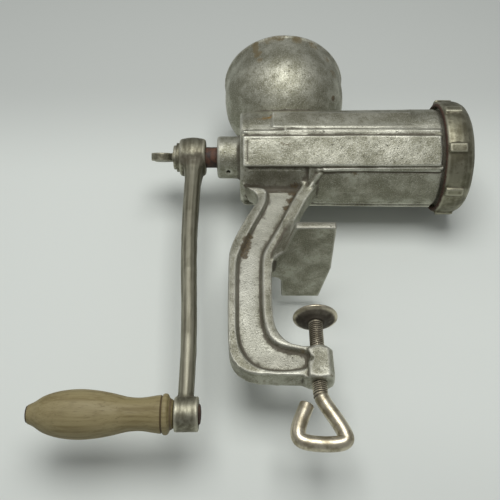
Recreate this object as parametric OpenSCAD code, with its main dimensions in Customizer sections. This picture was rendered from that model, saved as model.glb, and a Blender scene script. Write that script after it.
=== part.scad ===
// Hand crank meat grinder, clamp-on, about size 5.
// Millimetres. +X runs along the barrel towards the mouth, +Z is up.
// The origin is on the underside of the table seat, on the clamp screw's axis.

/* [Barrel] */
// Height of the barrel axis above the table seat
axis_h = 92.5; // [90:0.5:100]
// From the clamp screw's axis back to the rear face of the barrel
barrel_back = 43.5; // [42:0.5:46]
// Length of the barrel casting, rear face to mouth
barrel_len = 141.5; // [130:0.5:155]
// Outer radius of the barrel at its rear
barrel_rear_r = 30.9; // [29.5:0.1:32]
// Outer radius of the barrel behind the mouth thread
barrel_mouth_r = 32.4; // [31:0.1:33.5]
// Radius of the bore that the worm turns in
bore_r = 24.6; // [23.5:0.1:25.6]
// Thickness of the barrel's rear wall
rear_wall = 5; // [4:0.5:7]
// Radius of the rear wall's flange
flange_r = 30.2; // [29:0.1:31]

/* [Mouth] */
// Radius over the mouth thread
mouth_thread_r = 33.6; // [33:0.1:34.4]
// Length of the mouth thread
mouth_thread_len = 8.5; // [7:0.5:11]
// Width of the relief groove behind the mouth thread
relief_w = 3; // [2:0.5:4]
// Depth of the relief groove below the barrel's surface
relief_depth = 0.9; // [0.4:0.1:1.5]
// Depth of the seat that the hole plate drops into
plate_seat = 3; // [2:0.5:4]

/* [Sleeve] */
// Length of the bearing sleeve behind the barrel
sleeve_len = 15.5; // [12:0.5:20]
// Outer radius of the bearing sleeve
sleeve_r = 14.3; // [12.5:0.1:16]
// Radius of the oil hole in the sleeve
oil_hole_r = 1.3; // [0.8:0.1:2]

/* [Hopper] */
// Radius of the hopper bowl at its rim
hopper_r = 43; // [40:0.5:46]
// Height of the rim above the barrel axis
hopper_rise = 79.5; // [76:0.5:84]
// Height of the bowl's straight wall, under which it curves in like a ball
hopper_wall_h = 19.5; // [14:0.5:24]
// From the clamp screw's axis back to the hopper's centre
hopper_back = 12; // [8:0.5:15]
// Wall thickness of the hopper bowl
hopper_wall = 3.2; // [2.4:0.1:4.5]
// Radius of the throat between bowl and bore
throat_r = 16; // [14:0.5:18]
// Radius of the bead along the rim
rim_bead_r = 1.7; // [1.2:0.1:2.4]

/* [Barrel ribs] */
// Angle of the side rails below the horizontal
rail_below = 39; // [34:1:44]
// Width of a side rail
rail_w = 19.6; // [15:0.2:22]
// Height of a side rail's flat above the barrel's surface
rail_proud = 0.6; // [0.1:0.1:1.5]
// Width of the thin ridges beside the rails
ridge_w = 1.7; // [1:0.1:3]
// Height of the thin ridges
ridge_proud = 0.8; // [0.4:0.1:1.5]
// Angle between a rail's middle and the ridge above it
ridge_above = 24; // [22:0.5:28]
// Angle between a rail's middle and the ridge below it
ridge_under = 22.5; // [21:0.5:28]
// Length of the bare raised plaque
plaque_len = 91; // [60:1:100]
// Width of the bare raised plaque
plaque_w = 15.2; // [10:0.2:17]
// Height of the plaque's face above the barrel's surface
plaque_proud = 1; // [0.5:0.1:2]
// From the barrel's rear face to the plaque
plaque_from_rear = 21; // [14:0.5:26]
// Height of the plaque's middle above the barrel axis
plaque_up = 2.4; // [0:0.2:4]

/* [Leg] */
// Clear depth of the clamp throat, screw axis to leg
throat_depth = 24; // [22.5:0.5:30]
// Width of the leg seen from the side
leg_w = 25.5; // [22:0.5:28]
// Thickness of the leg across the barrel
leg_t = 12; // [10:0.5:15]
// Width of the leg's outer rim
leg_rim = 6.2; // [5:0.1:7.5]
// Width of the leg's inner rim, beside the clamp's throat
leg_rim_in = 7.8; // [6:0.1:9]
// Depth of the panel between the rims
panel_depth = 2.5; // [1.5:0.1:3]
// Width of the slope from a rim down into the panel
rim_slope = 1.6; // [0.8:0.1:2.2]
// Height of the leg's shoulder above the seat
shoulder_h = 9; // [5:0.5:12]
// Depth of the recesses in the barrel's flanks above the leg
recess_depth = 1.6; // [0.8:0.1:2.4]
// Width of these recesses
recess_w = 10.5; // [8:0.5:11]
// Angle of the middle of these recesses below the horizontal
recess_below = 67; // [65:0.5:69]

/* [Table jaw] */
// Thickness of the jaw plate
jaw_t = 4.8; // [4:0.1:7]
// Width of the jaw plate across the barrel
jaw_w = 67; // [56:1:76]
// Reach of the jaw plate in front of the clamp screw's axis
jaw_reach = 12.2; // [9:0.1:15]
// Reach of the jaw plate's wings behind the clamp screw's axis
jaw_wing = 17.4; // [15:0.1:19]
// Taper of the jaw's far front corner
jaw_taper = 5.6; // [2:0.1:8]

/* [Clamp] */
// From the table seat down to the top of the screw boss
jaw_gap = 60.5; // [57:0.5:68]
// Height of the screw boss
boss_h = 19.5; // [17:0.5:26]
// Radius of the screw boss
boss_r = 8; // [7:0.1:10]
// Radius of the clamp screw
screw_r = 4; // [3.5:0.1:4.6]
// Pitch of the clamp screw's thread
screw_pitch = 1.25; // [1:0.25:1.5]
// From the table seat down to the pad's face, as stored
pad_drop = 37.5; // [34:0.5:41]
// Radius of the pad
pad_r = 12.7; // [11:0.1:15]
// Height of the pad
pad_h = 4.6; // [4:0.1:6]
// Thickness of the pad's rim
pad_rim = 1.4; // [1:0.1:2.2]
// Radius of the screw's spigot in the pad
pad_spigot_r = 2.8; // [2.2:0.1:3.2]
// Radius of the spigot's riveted head, sunk in the pad's face
pad_rivet_r = 4.4; // [3.8:0.1:5.2]
// Free length of the screw below its boss, as stored
shank_below = 7.5; // [7:0.5:12]
// Width of the screw's eye, between rod centres
eye_w = 24.5; // [20:0.5:30]
// Height of the screw's eye, between rod centres
eye_h = 27; // [24:0.5:32]

/* [Worm] */
// Radius of the worm's journal in the sleeve
journal_r = 7; // [6:0.1:8]
// Side of the square on the worm's tail
tail_square = 9.4; // [8:0.1:9.6]
// Radial gap between the worm and the bore
worm_gap = 0.6; // [0.4:0.1:1.2]
// Radius of the worm's core at the rear
core_rear_r = 8.5; // [7.5:0.1:10]
// Radius of the worm's core at the front
core_front_r = 12.5; // [10:0.1:14]
// Pitch of the worm's flight at the rear
flight_pitch_rear = 38; // [32:1:44]
// Pitch of the worm's flight at the front
flight_pitch_front = 22; // [18:1:26]
// Thickness of the thrust washer
thrust_t = 2; // [1.5:0.1:3]
// Radius of the thrust washer
thrust_r = 13; // [11:0.5:15]

/* [Knife and hole plate] */
// Thickness of the knife's blades
knife_t = 6.5; // [5:0.1:8]
// Radius over the knife's blades
knife_r = 23.4; // [22:0.1:23.4]
// Radius of the knife's hub
knife_hub_r = 8.6; // [8:0.1:10]
// How far the knife's hub stands back from its blades
knife_hub_back = 2.4; // [1:0.1:4]
// Number of blades
knife_blades = 4; // [3:1:6]
// Side of the square stud that drives the knife
stud_square = 8; // [7:0.1:8.4]
// Radius of the stud's pin in the plate's centre
stud_pin_r = 3.9; // [3:0.1:3.9]
// Radius of the hole plate
plate_r = 27; // [26.2:0.1:27.8]
// Thickness of the hole plate
plate_t = 6; // [5:0.1:8]
// Radius of the plate's holes
plate_hole_r = 2.2; // [1.5:0.1:2.3]
// Distance between the rings of holes
plate_ring_step = 5.3; // [4.8:0.1:5.4]
// Radius of the pin that keys the plate
key_r = 1.6; // [1.2:0.1:2]

/* [Ring nut] */
// Radius over the ring nut's lugs
ring_r = 39; // [38:0.1:41]
// Length of the ring nut
ring_len = 20; // [17:0.1:21]
// Radius of the opening in the ring nut's lip
outlet_r = 23.5; // [23.2:0.1:24.5]
// Thickness of the ring nut's lip
ring_lip = 6.5; // [4:0.1:8]
// Height of the lugs above the ring
lug_proud = 1.3; // [0.6:0.1:2]
// Width of a lug
lug_w = 5.6; // [4:0.1:8]
// Number of lugs
ring_lugs = 8; // [6:1:12]

/* [Crank] */
// From the barrel axis to the handle's axis
crank_len = 190; // [160:1:210]
// Width of the gap between sleeve and crank hub
hub_gap = 8; // [5:0.5:12]
// Length of the crank hub
hub_len = 17.6; // [15:0.1:22]
// Radius of the crank hub at its middle
hub_r = 13.6; // [12.4:0.1:15]
// Thickness of the arm at the hub, along the barrel
arm_t_top = 10.4; // [9:0.1:12]
// Thickness of the arm at the handle end
arm_t_end = 7.8; // [7:0.1:10]
// Width of the arm at the hub, across the barrel
arm_w_top = 17; // [14:0.5:20]
// Width of the arm at the handle end
arm_w_end = 13; // [11:0.5:15]
// Sideways offset of the arm's lower end towards the barrel
arm_offset = 4.4; // [2:0.1:6]
// Length of the boss that holds the handle pin
pin_boss_len = 12.4; // [10:0.1:15]
// Radius of the boss that holds the handle pin
pin_boss_r = 9; // [8:0.1:11]

/* [Crank screw] */
// Radius of the crank screw's shank
crank_screw_r = 3; // [2.5:0.1:3.2]
// Length of the crank screw's shank in the worm
crank_screw_in = 12; // [8:0.5:14]
// Radius of the crank screw's washer
washer_r = 9.8; // [8:0.1:11]
// Thickness of the crank screw's washer
washer_t = 2; // [1.5:0.1:3]
// Radius of the crank screw's collar
collar_r = 8.2; // [7:0.1:9]
// Thickness of the crank screw's collar
collar_t = 2.2; // [1.5:0.1:3]
// Length of the wing beyond the collar
wing_len = 14.2; // [11:0.1:18]
// Width of the wing from tip to tip
wing_w = 31; // [26:0.5:36]
// Thickness of the wing
wing_t = 5.2; // [3.5:0.1:6]
// Angle at which the tightened wing stands above the horizontal
wing_stop = 46; // [0:1:90]

/* [Handle] */
// Length of the wooden grip
grip_len = 74.6; // [60:0.1:90]
// Radius of the grip's belly
grip_belly_r = 12.7; // [11:0.1:15]
// Radius of the grip's neck
grip_neck_r = 8.4; // [7.4:0.1:9.5]
// Radius of the bead near the arm
grip_bead_r = 10.5; // [9:0.1:12]
// Radius of the grip's end at the arm
grip_end_r = 7.5; // [6.8:0.1:9]
// Radius of the pin through the grip
pin_r = 3.1; // [2.5:0.1:3.6]
// Radius of the washer under the pin's riveted end
tip_washer_r = 4.4; // [4.2:0.1:6]

/* [Fits] */
// Radial clearance of turning and sliding fits
run_fit = 0.06; // [0.03:0.01:0.09]
// Clearance of each side of a square drive
drive_fit = 0.1; // [0.05:0.01:0.2]
// Gap between faces that turn against each other
face_gap = 0.1; // [0.05:0.05:0.2]

/* [Hidden] */
$fn = 72;

// Small amount by which a cut runs past a face
past = 1;

// Places along the barrel
rear_x = -barrel_back;
mouth_x = rear_x + barrel_len;
wall_x = rear_x + rear_wall;
seat_x = mouth_x - plate_seat;
thread_x = mouth_x - mouth_thread_len;
sleeve_x = rear_x - sleeve_len;
hub_x = sleeve_x - hub_gap;
hub_end_x = hub_x - hub_len;
shoulder_x = wall_x + thrust_t;
plate_out_x = seat_x + plate_t;
ring_out_x = plate_out_x + ring_lip;
ring_in_x = ring_out_x - ring_len;
hopper_x = -hopper_back;
worm_front_x = seat_x - face_gap - knife_t - knife_hub_back;
worm_flight_len = worm_front_x - shoulder_x;

// Angles that the worm's flight takes up at its top and on each flank, and its cross-sections
flight_half = 22;
flight_flank = 10;
worm_stations = 72;

// Depth of the knife stud's root in the worm
stud_depth = 12;

// Fit sizes
journal_bore_r = journal_r + run_fit;
screw_bore_r = screw_r + run_fit;
ring_bore_r = mouth_thread_r + run_fit;
plate_seat_r = plate_r + run_fit;
worm_r = bore_r - worm_gap;
grip_bore_r = pin_r + run_fit;

// Places on the clamp
leg_in_x = -throat_depth;
leg_out_x = leg_in_x - leg_w;
barrel_low_z = axis_h - barrel_rear_r;
boss_top_z = -jaw_gap;
boss_low_z = boss_top_z - boss_h;
pad_top_z = -pad_drop;
pad_low_z = pad_top_z - pad_h;
eye_top_z = boss_low_z - shank_below;
// The spigot's riveted head, and how far it lies below the pad's face
rivet_t = 1;
rivet_sink = 0.5;

// Places on the crank
grip_z = axis_h - crank_len;
arm_top_x = (hub_x + hub_end_x) / 2 + 1;
arm_end_x = arm_top_x + arm_offset;
pin_boss_x = arm_end_x - pin_boss_len / 2 + 0.9;
grip_x = pin_boss_x - face_gap * 4;
grip_tip_x = grip_x - grip_len;

cast_grey = [0.62, 0.62, 0.60];
jaw_grey = [0.50, 0.50, 0.49];
zinc = [0.70, 0.66, 0.56];
rust_brown = [0.24, 0.15, 0.11];
bright_steel = [0.74, 0.74, 0.73];
crank_grey = [0.50, 0.50, 0.46];
pale_wood = [0.67, 0.61, 0.46];
fibre = [0.45, 0.28, 0.18];

// The value a share s of the way from a to b
function mix(a, b, s) = a + (b - a) * s;

// Puts a shape on the barrel axis, its own z along +X from the place x
module on_axis(x = 0) {
    translate([x, 0, axis_h]) rotate([0, 90, 0]) children();
}

// A solid of revolution about the barrel axis, outline as [radius, x]
module turned(outline) {
    on_axis() rotate_extrude($fn = 96) polygon(outline);
}

// Stands an outline drawn as [x, z] upright, with thickness t across the barrel
module upright(t) {
    rotate([90, 0, 0]) linear_extrude(t, center = true) children();
}

// ---- grinder body ----

function barrel_r_at(x) = barrel_rear_r + (barrel_mouth_r - barrel_rear_r) * (x - wall_x) / (thread_x - relief_w - wall_x);

// A bar along the barrel's surface; below is its angle under the horizontal, side is -1 or 1
module flank_bar(below, side, w, proud, x0, x1) {
    on_axis() rotate([0, 0, side * (90 - below)]) rotate([90, 0, 0]) linear_extrude(w, center = true)
        polygon([[bore_r + 2, x0], [barrel_r_at(x0) + proud, x0], [barrel_r_at(x1) + proud, x1], [bore_r + 2, x1]]);
}

module barrel_outside() {
    relief_x = thread_x - relief_w;
    relief_r = barrel_mouth_r - relief_depth;
    turned([[0, rear_x], [flange_r - 1.2, rear_x], [flange_r, rear_x + 1.2], [flange_r, wall_x],
            [barrel_rear_r, wall_x + 0.6], [barrel_mouth_r, relief_x], [relief_r, relief_x + 0.5],
            [relief_r, thread_x], [mouth_thread_r, thread_x + 0.8], [mouth_thread_r, mouth_x - 0.8],
            [mouth_thread_r - 0.8, mouth_x], [0, mouth_x]]);
    turned([[0, sleeve_x], [sleeve_r - 1, sleeve_x], [sleeve_r, sleeve_x + 1],
            [sleeve_r, rear_x - 1.5], [sleeve_r + 1.5, rear_x], [0, rear_x]]);
}

module barrel_ribs() {
    relief_x = thread_x - relief_w;
    for (side = [-1, 1]) {
        flank_bar(rail_below, side, rail_w, rail_proud, rear_x + 2, relief_x - 1);
        flank_bar(rail_below - ridge_above, side, ridge_w, ridge_proud, rear_x + 2, relief_x - 1);
        flank_bar(rail_below + ridge_under, side, ridge_w, ridge_proud, leg_in_x + 30, relief_x - 1);
    }
    plaque_x = rear_x + plaque_from_rear;
    translate([plaque_x, -barrel_r_at(plaque_x) - plaque_proud, axis_h + plaque_up - plaque_w / 2])
        cube([plaque_len, barrel_r_at(plaque_x) - bore_r - 1, plaque_w]);
}

// The bowl's form: half a ball under a straight wall
module bowl(r, h) {
    intersection() {
        sphere(r, $fn = 96);
        translate([0, 0, -r - past]) cylinder(h = r + past, r = r + past, $fn = 96);
    }
    cylinder(h = h, r = r, $fn = 96);
}

module hopper_outside() {
    translate([hopper_x, 0, axis_h + hopper_rise - hopper_wall_h]) {
        bowl(hopper_r, hopper_wall_h);
        translate([0, 0, hopper_wall_h - rim_bead_r]) rotate_extrude($fn = 96)
            translate([hopper_r - rim_bead_r / 2, 0]) circle(rim_bead_r, $fn = 24);
    }
}

// Cuts every corner of a closed outline twice over
function eased(loop, times = 2) = times == 0 ? loop : eased(
    [for (i = [0:len(loop) - 1]) let (a = loop[i], b = loop[(i + 1) % len(loop)]) each [mix(a, b, 0.25), mix(a, b, 0.75)]],
    times - 1);

// The leg's outline in the plane of the barrel axis, as [x, z]
module leg_outline() {
    polygon(eased([[rear_x - 1, barrel_low_z + 9], [rear_x + 1, barrel_low_z], [leg_in_x - 5.5, barrel_low_z - 11],
                   [leg_out_x + 13, shoulder_h + 30], [leg_out_x + 0.5, shoulder_h + 2], [leg_out_x - 0.3, shoulder_h - 16],
                   [leg_out_x + 0.3, boss_low_z + 26], [leg_out_x + 2, boss_low_z + 11], [leg_out_x + 12, boss_low_z + 2.4],
                   [leg_in_x + 2, boss_low_z + 2.2], [2, boss_low_z + 1], [2, boss_top_z - 0.5],
                   [-6, boss_top_z - 0.2], [leg_in_x + 8, boss_top_z + 1.8], [leg_in_x + 1, boss_top_z + 11], [leg_in_x - 0.4, boss_top_z + 26],
                   [leg_in_x, shoulder_h - 8], [leg_in_x + 6.5, shoulder_h + 3], [leg_in_x + 17, shoulder_h + 25],
                   [leg_in_x + 23, barrel_low_z - 13], [leg_in_x + 32, barrel_low_z + 1], [leg_in_x + 38, barrel_low_z + 14]]));
}

// The outline of the sunk panel between the rims, as [x, z]
module panel_outline() {
    out_x = leg_out_x + leg_rim;
    in_x = leg_in_x - leg_rim_in;
    top_z = barrel_low_z - 5;
    polygon(eased([[leg_in_x, top_z], [leg_in_x, top_z - 10], [out_x + 7, shoulder_h + 11], [out_x, shoulder_h - 5],
                   [out_x, boss_low_z + 28], [out_x + 2, boss_low_z + 15], [out_x + 10, boss_low_z + 6.7],
                   [leg_in_x, boss_low_z + 6.4], [-boss_r - 1.4, boss_low_z + 6.8], [-boss_r - 0.6, boss_top_z - 5.6],
                   [leg_in_x + 7, boss_top_z - 5.8], [in_x + 5, boss_top_z - 2], [in_x, boss_top_z + 9],
                   [in_x, shoulder_h - 11], [in_x + 3, shoulder_h + 2], [leg_in_x + 3, shoulder_h + 17],
                   [leg_in_x + 13, top_z - 13], [leg_in_x + 13, top_z]]));
}

module leg() {
    difference() {
        upright(leg_t) leg_outline();
        for (side = [-1, 1]) {
            translate([0, side * (leg_t - panel_depth), 0]) upright(leg_t) panel_outline();
            translate([0, side * (leg_t - panel_depth * 0.45), 0]) upright(leg_t) offset(delta = rim_slope) panel_outline();
        }
    }
}

// A flat recess in the barrel's flank, beside the top of the leg
module flank_recess(side) {
    on_axis(wall_x) rotate([0, 0, side * (90 - recess_below)])
        translate([barrel_rear_r - recess_depth, -recess_w / 2, 0]) cube([5, recess_w, leg_in_x + 25 - wall_x]);
}

module jaw() {
    half = jaw_w / 2;
    linear_extrude(jaw_t)
        polygon([[leg_in_x - 2, -leg_t / 2 + 1], [-jaw_wing, -leg_t / 2 - 4.5], [-jaw_wing + 6.5, -half],
                 [jaw_reach, -half], [jaw_reach, half * 0.13], [jaw_reach - jaw_taper, half], [-jaw_wing + 0.3, half],
                 [-jaw_wing - 0.3, half / 2], [-jaw_wing - 2.2, leg_t / 2 + 8], [leg_in_x - 2, leg_t / 2 + 7]]);
}

module screw_boss() {
    translate([0, 0, boss_low_z]) cylinder(h = boss_h, r = boss_r);
}

module grinder_body() {
    color(cast_grey) difference() {
        union() {
            barrel_outside();
            barrel_ribs();
            hopper_outside();
            leg();
            jaw();
            screw_boss();
        }
        turned([[0, wall_x], [bore_r, wall_x], [bore_r, seat_x], [plate_seat_r, seat_x],
                [plate_seat_r, mouth_x + past], [0, mouth_x + past]]);
        on_axis(sleeve_x - past) cylinder(h = sleeve_len + rear_wall + 2 * past, r = journal_bore_r);
        translate([hopper_x, 0, axis_h + hopper_rise - hopper_wall_h])
            bowl(hopper_r - hopper_wall, hopper_wall_h + past);
        translate([hopper_x, 0, axis_h]) cylinder(h = hopper_rise, r = throat_r);
        // The bore runs on past the boss, through the rounding where the leg meets it
        translate([0, 0, boss_low_z - 4]) cylinder(h = boss_h + 8, r = screw_bore_r);
        translate([(sleeve_x + rear_x) / 2, 0, axis_h - sleeve_r - past])
            cylinder(h = sleeve_r, r = oil_hole_r, $fn = 24);
        key_hole();
        for (side = [-1, 1]) flank_recess(side);
    }
}

// ---- pieces in the barrel ----

// The key stands in the bottom of the plate's seat, half in the casting
module key_at(r, h) {
    on_axis(seat_x - 3) translate([plate_r, 0, 0]) cylinder(h = h, r = r, $fn = 32);
}

module key_hole() {
    key_at(key_r, plate_seat + 3 + past);
}

module plate_key() {
    color(bright_steel) key_at(key_r, plate_seat + 2.5);
}

module thrust_washer() {
    color(fibre) on_axis(wall_x) difference() {
        cylinder(h = thrust_t - face_gap, r = thrust_r);
        translate([0, 0, -past]) cylinder(h = thrust_t + 2 * past, r = journal_bore_r + 0.1);
    }
}

// Points round one cross-section of the worm: [angle from the flight's middle, 1 on the flight or 0 on the core]
worm_angles = concat([[-flight_half - flight_flank, 0], [-flight_half, 1], [-flight_half / 2, 1], [0, 1],
                      [flight_half / 2, 1], [flight_half, 1], [flight_half + flight_flank, 0]],
                     [for (a = [50:20:310]) [a, 0]]);

// Turn of the flight at a share s of its length, with the pitch closing up towards the mouth
function flight_turn(s) = 360 * worm_flight_len *
    (s / flight_pitch_rear + s * s / 2 * (1 / flight_pitch_front - 1 / flight_pitch_rear));
// The flight rises out of the core at both ends
function flight_rise(s) = min(1, s / 0.07, (1 - s) / 0.05);
function worm_radius(s, on) = mix(core_at(s), worm_r, on * flight_rise(s));
function core_at(s) = mix(core_rear_r, core_front_r, s);

module worm_flight() {
    m = len(worm_angles);
    points = [for (i = [0:worm_stations]) let (s = i / worm_stations) for (p = worm_angles)
        let (a = p[0] + flight_turn(s), r = worm_radius(s, p[1]))
        [r * cos(a), r * sin(a), s * worm_flight_len]];
    sides = [for (i = [0:worm_stations - 1]) for (k = [0:m - 1])
        let (n = (k + 1) % m, low = i * m, high = low + m)
        each [[low + k, high + k, low + n], [low + n, high + k, high + n]]];
    first = [for (k = [0:m - 1]) k];
    last = [for (k = [m - 1:-1:0]) worm_stations * m + k];
    on_axis(shoulder_x) polyhedron(points, concat(sides, [first, last]), convexity = 8);
}

module worm() {
    tail_x = hub_end_x + 1;
    color(rust_brown) difference() {
        union() {
            worm_flight();
            on_axis(hub_x) cylinder(h = shoulder_x - hub_x + 2, r = journal_r);
            on_axis(tail_x) translate([-tail_square / 2, -tail_square / 2, 0])
                cube([tail_square, tail_square, hub_x - tail_x + 2]);
        }
        on_axis(tail_x - past) cylinder(h = crank_screw_in + 3, r = crank_screw_r + run_fit);
        on_axis(worm_front_x - stud_depth) cylinder(h = stud_depth + past, r = stud_pin_r);
    }
}

module knife_stud() {
    color(bright_steel) {
        on_axis(worm_front_x - stud_depth) cylinder(h = stud_depth, r = stud_pin_r);
        on_axis(worm_front_x) translate([-stud_square / 2, -stud_square / 2, 0])
            cube([stud_square, stud_square, seat_x - worm_front_x - 0.5]);
        on_axis(seat_x - 1) cylinder(h = plate_t + 0.5, r = stud_pin_r);
    }
}

// One swept blade of the knife, as [x, y]
module blade_outline() {
    polygon([[-4.2, 0], [-3.4, knife_hub_r + 3], [-5.6, knife_r * 0.78], [-8.4, knife_r * 0.9], [-6, knife_r * 0.966],
             [-1, knife_r * 0.995], [3.2, knife_r * 0.985], [3.6, knife_hub_r + 3], [4.2, 0]]);
}

module knife() {
    hole = stud_square + 2 * drive_fit;
    color(bright_steel) on_axis(seat_x - face_gap - knife_t) difference() {
        union() {
            intersection() {
                for (i = [0:knife_blades - 1]) rotate(360 * i / knife_blades)
                    linear_extrude(knife_t) blade_outline();
                cylinder(h = knife_t, r = knife_r);
            }
            translate([0, 0, -knife_hub_back]) cylinder(h = knife_t + knife_hub_back - 0.3, r = knife_hub_r);
        }
        translate([-hole / 2, -hole / 2, -knife_hub_back - past]) cube([hole, hole, knife_t + knife_hub_back + 2 * past]);
    }
}

module hole_plate() {
    color(bright_steel) on_axis(seat_x) difference() {
        cylinder(h = plate_t, r = plate_r);
        translate([0, 0, -past]) cylinder(h = plate_t + 2 * past, r = stud_pin_r + run_fit);
        for (ring = [1:3]) for (i = [0:6 * ring - 1])
            rotate(360 * i / (6 * ring)) translate([3.4 + ring * plate_ring_step, 0, -past])
                cylinder(h = plate_t + 2 * past, r = plate_hole_r, $fn = 24);
        translate([plate_r, 0, -past]) cylinder(h = plate_t + 2 * past, r = key_r + 0.3, $fn = 32);
    }
}

module ring_nut() {
    base_r = ring_r - lug_proud;
    color(cast_grey) difference() {
        union() {
            turned([[ring_bore_r - 4, ring_in_x + 1], [base_r - 2.6, ring_in_x], [base_r - 0.7, ring_in_x + 1.6],
                    [base_r, ring_in_x + 5], [base_r, ring_out_x - 9.5], [base_r - 0.8, ring_out_x - 6],
                    [base_r - 2.5, ring_out_x - 3], [base_r - 5, ring_out_x - 1.1], [base_r - 8, ring_out_x],
                    [outlet_r - 2, ring_out_x], [outlet_r - 2, plate_out_x - 1]]);
            for (i = [0:ring_lugs - 1]) on_axis(ring_in_x + 1.6)
                rotate(360 * i / ring_lugs + 37) translate([ring_r - 5, -lug_w / 2, 0])
                    cube([5, lug_w, ring_len - 8.5]);
        }
        turned([[0, ring_in_x - past], [ring_bore_r, ring_in_x - past], [ring_bore_r, plate_out_x],
                [outlet_r, plate_out_x], [outlet_r, ring_out_x + past], [0, ring_out_x + past]]);
    }
}

// ---- crank and handle ----

// Places down the arm where a cross-section stands, as shares of its length
arm_shares = [0, 0.02, 0.045, 0.08, 0.2, 0.33, 0.43, 0.52, 0.61, 0.7, 0.8, 0.9, 1];

// Half of a cross-section's outline, as shares of [thickness / 2, width / 2]; the other half mirrors it
arm_half = [[0.2, -1], [0.68, -0.86], [1, -0.52], [1, 0.52], [0.68, 0.86], [0.2, 1]];

// One cross-section at a share s, with the flare under the hub and the bend towards the barrel
function arm_ring(s) =
    let (z = mix(axis_h - hub_r + 3, grip_z - 0.7, s), q = min(1, max(0, (s - 0.25) / 0.6)),
         x = mix(arm_top_x, arm_end_x, q * q * (3 - 2 * q)), flare = pow(max(0, 1 - s / 0.08), 2),
         t = mix(arm_t_top, arm_t_end, s) + 4 * flare, w = mix(arm_w_top, arm_w_end, s) + 2 * flare)
    concat([for (p = arm_half) [x + p[0] * t / 2, p[1] * w / 2, z]],
           [for (p = arm_half) [x - p[0] * t / 2, -p[1] * w / 2, z]]);

module arm() {
    m = 2 * len(arm_half);
    last = len(arm_shares) - 1;
    points = [for (s = arm_shares) each arm_ring(s)];
    sides = [for (i = [0:last - 1]) for (k = [0:m - 1])
        let (n = (k + 1) % m, up = i * m, down = up + m)
        each [[up + k, up + n, down + k], [up + n, down + n, down + k]]];
    first = [for (k = [m - 1:-1:0]) k];
    far = [for (k = [0:m - 1]) last * m + k];
    polyhedron(points, concat(sides, [first, far]), convexity = 4);
}

module crank_arm() {
    hole = tail_square + 2 * drive_fit;
    edge_r = hub_r - 1.1;
    mid_x = (hub_x + hub_end_x) / 2;
    color(crank_grey) difference() {
        union() {
            turned([[0, hub_end_x], [edge_r - 1, hub_end_x], [edge_r, hub_end_x + 1], [hub_r - 0.2, mid_x - 3],
                    [hub_r, mid_x], [hub_r - 0.2, mid_x + 3], [edge_r, hub_x - 1], [edge_r - 1, hub_x], [0, hub_x]]);
            arm();
            translate([pin_boss_x, 0, grip_z]) rotate([0, 90, 0]) cylinder(h = pin_boss_len, r = pin_boss_r);
        }
        on_axis(hub_end_x - past) translate([-hole / 2, -hole / 2, 0]) cube([hole, hole, hub_len + 2 * past]);
        translate([pin_boss_x - past, 0, grip_z]) rotate([0, 90, 0]) cylinder(h = pin_boss_len + 2 * past, r = pin_r);
    }
}

module crank_washer() {
    color(zinc) on_axis(hub_end_x - washer_t) difference() {
        cylinder(h = washer_t, r = washer_r);
        translate([0, 0, -past]) cylinder(h = washer_t + 2 * past, r = crank_screw_r + run_fit);
    }
}

module crank_screw() {
    collar_x = hub_end_x - washer_t - collar_t;
    ear_r = wing_len * 0.46;
    color(zinc) on_axis(collar_x) {
        cylinder(h = collar_t - face_gap / 2, r = collar_r);
        cylinder(h = collar_t + washer_t + 1 + crank_screw_in, r = crank_screw_r);
        rotate(-wing_stop) rotate([90, 0, 0]) linear_extrude(wing_t, center = true) {
            for (side = [-1, 1]) translate([side * (wing_w / 2 - ear_r), ear_r - wing_len]) circle(ear_r);
            polygon([[-collar_r + 0.6, 0.5], [-wing_w / 2 + ear_r * 0.3, -wing_len + ear_r * 0.9],
                     [-wing_w / 2 + ear_r * 1.3, -wing_len + ear_r * 0.2], [0, -wing_len * 0.62],
                     [wing_w / 2 - ear_r * 1.3, -wing_len + ear_r * 0.2], [wing_w / 2 - ear_r * 0.3, -wing_len + ear_r * 0.9],
                     [collar_r - 0.6, 0.5]]);
        }
    }
}

module handle_pin() {
    head_x = pin_boss_x + pin_boss_len;
    color(rust_brown) {
        translate([grip_tip_x - 1, 0, grip_z]) rotate([0, 90, 0])
            cylinder(h = head_x - grip_tip_x + 1.5, r = pin_r);
        translate([head_x, 0, grip_z]) rotate([0, 90, 0]) cylinder(h = 1.3, r = pin_r + 2.2);
        translate([grip_tip_x - 1.6, 0, grip_z]) rotate([0, 90, 0]) cylinder(h = 0.9, r = pin_r + 0.5);
    }
}

module handle_grip() {
    // Outline as [radius, distance from the arm]
    outline = [[grip_bore_r, 0], [grip_end_r - 0.6, 0], [grip_end_r, 0.6], [grip_end_r + 0.9, 2], [grip_bead_r - 0.5, 2.8],
               [grip_bead_r, 4], [grip_bead_r - 0.3, 5.2], [grip_bead_r - 1.3, 5.8], [grip_bead_r - 0.8, 6.4],
               [grip_neck_r + 0.9, 10], [grip_neck_r + 0.15, 15], [grip_neck_r, 19], [grip_neck_r + 0.5, 24],
               [mix(grip_neck_r, grip_belly_r, 0.5), 31], [grip_belly_r - 0.7, 39], [grip_belly_r, 47],
               [grip_belly_r - 0.3, 54], [grip_belly_r - 1.5, 61], [grip_belly_r - 3.6, 67], [grip_belly_r - 6.4, 71.5],
               [grip_bore_r + 1.7, grip_len], [grip_bore_r, grip_len]];
    color(pale_wood) translate([grip_x, 0, grip_z]) rotate([0, -90, 0]) rotate_extrude() polygon(outline);
}

module grip_washer() {
    color(rust_brown) translate([grip_tip_x - 0.7, 0, grip_z]) rotate([0, 90, 0]) difference() {
        cylinder(h = 0.6, r = tip_washer_r);
        translate([0, 0, -past]) cylinder(h = 3, r = pin_r);
    }
}

// ---- table clamp ----

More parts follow.
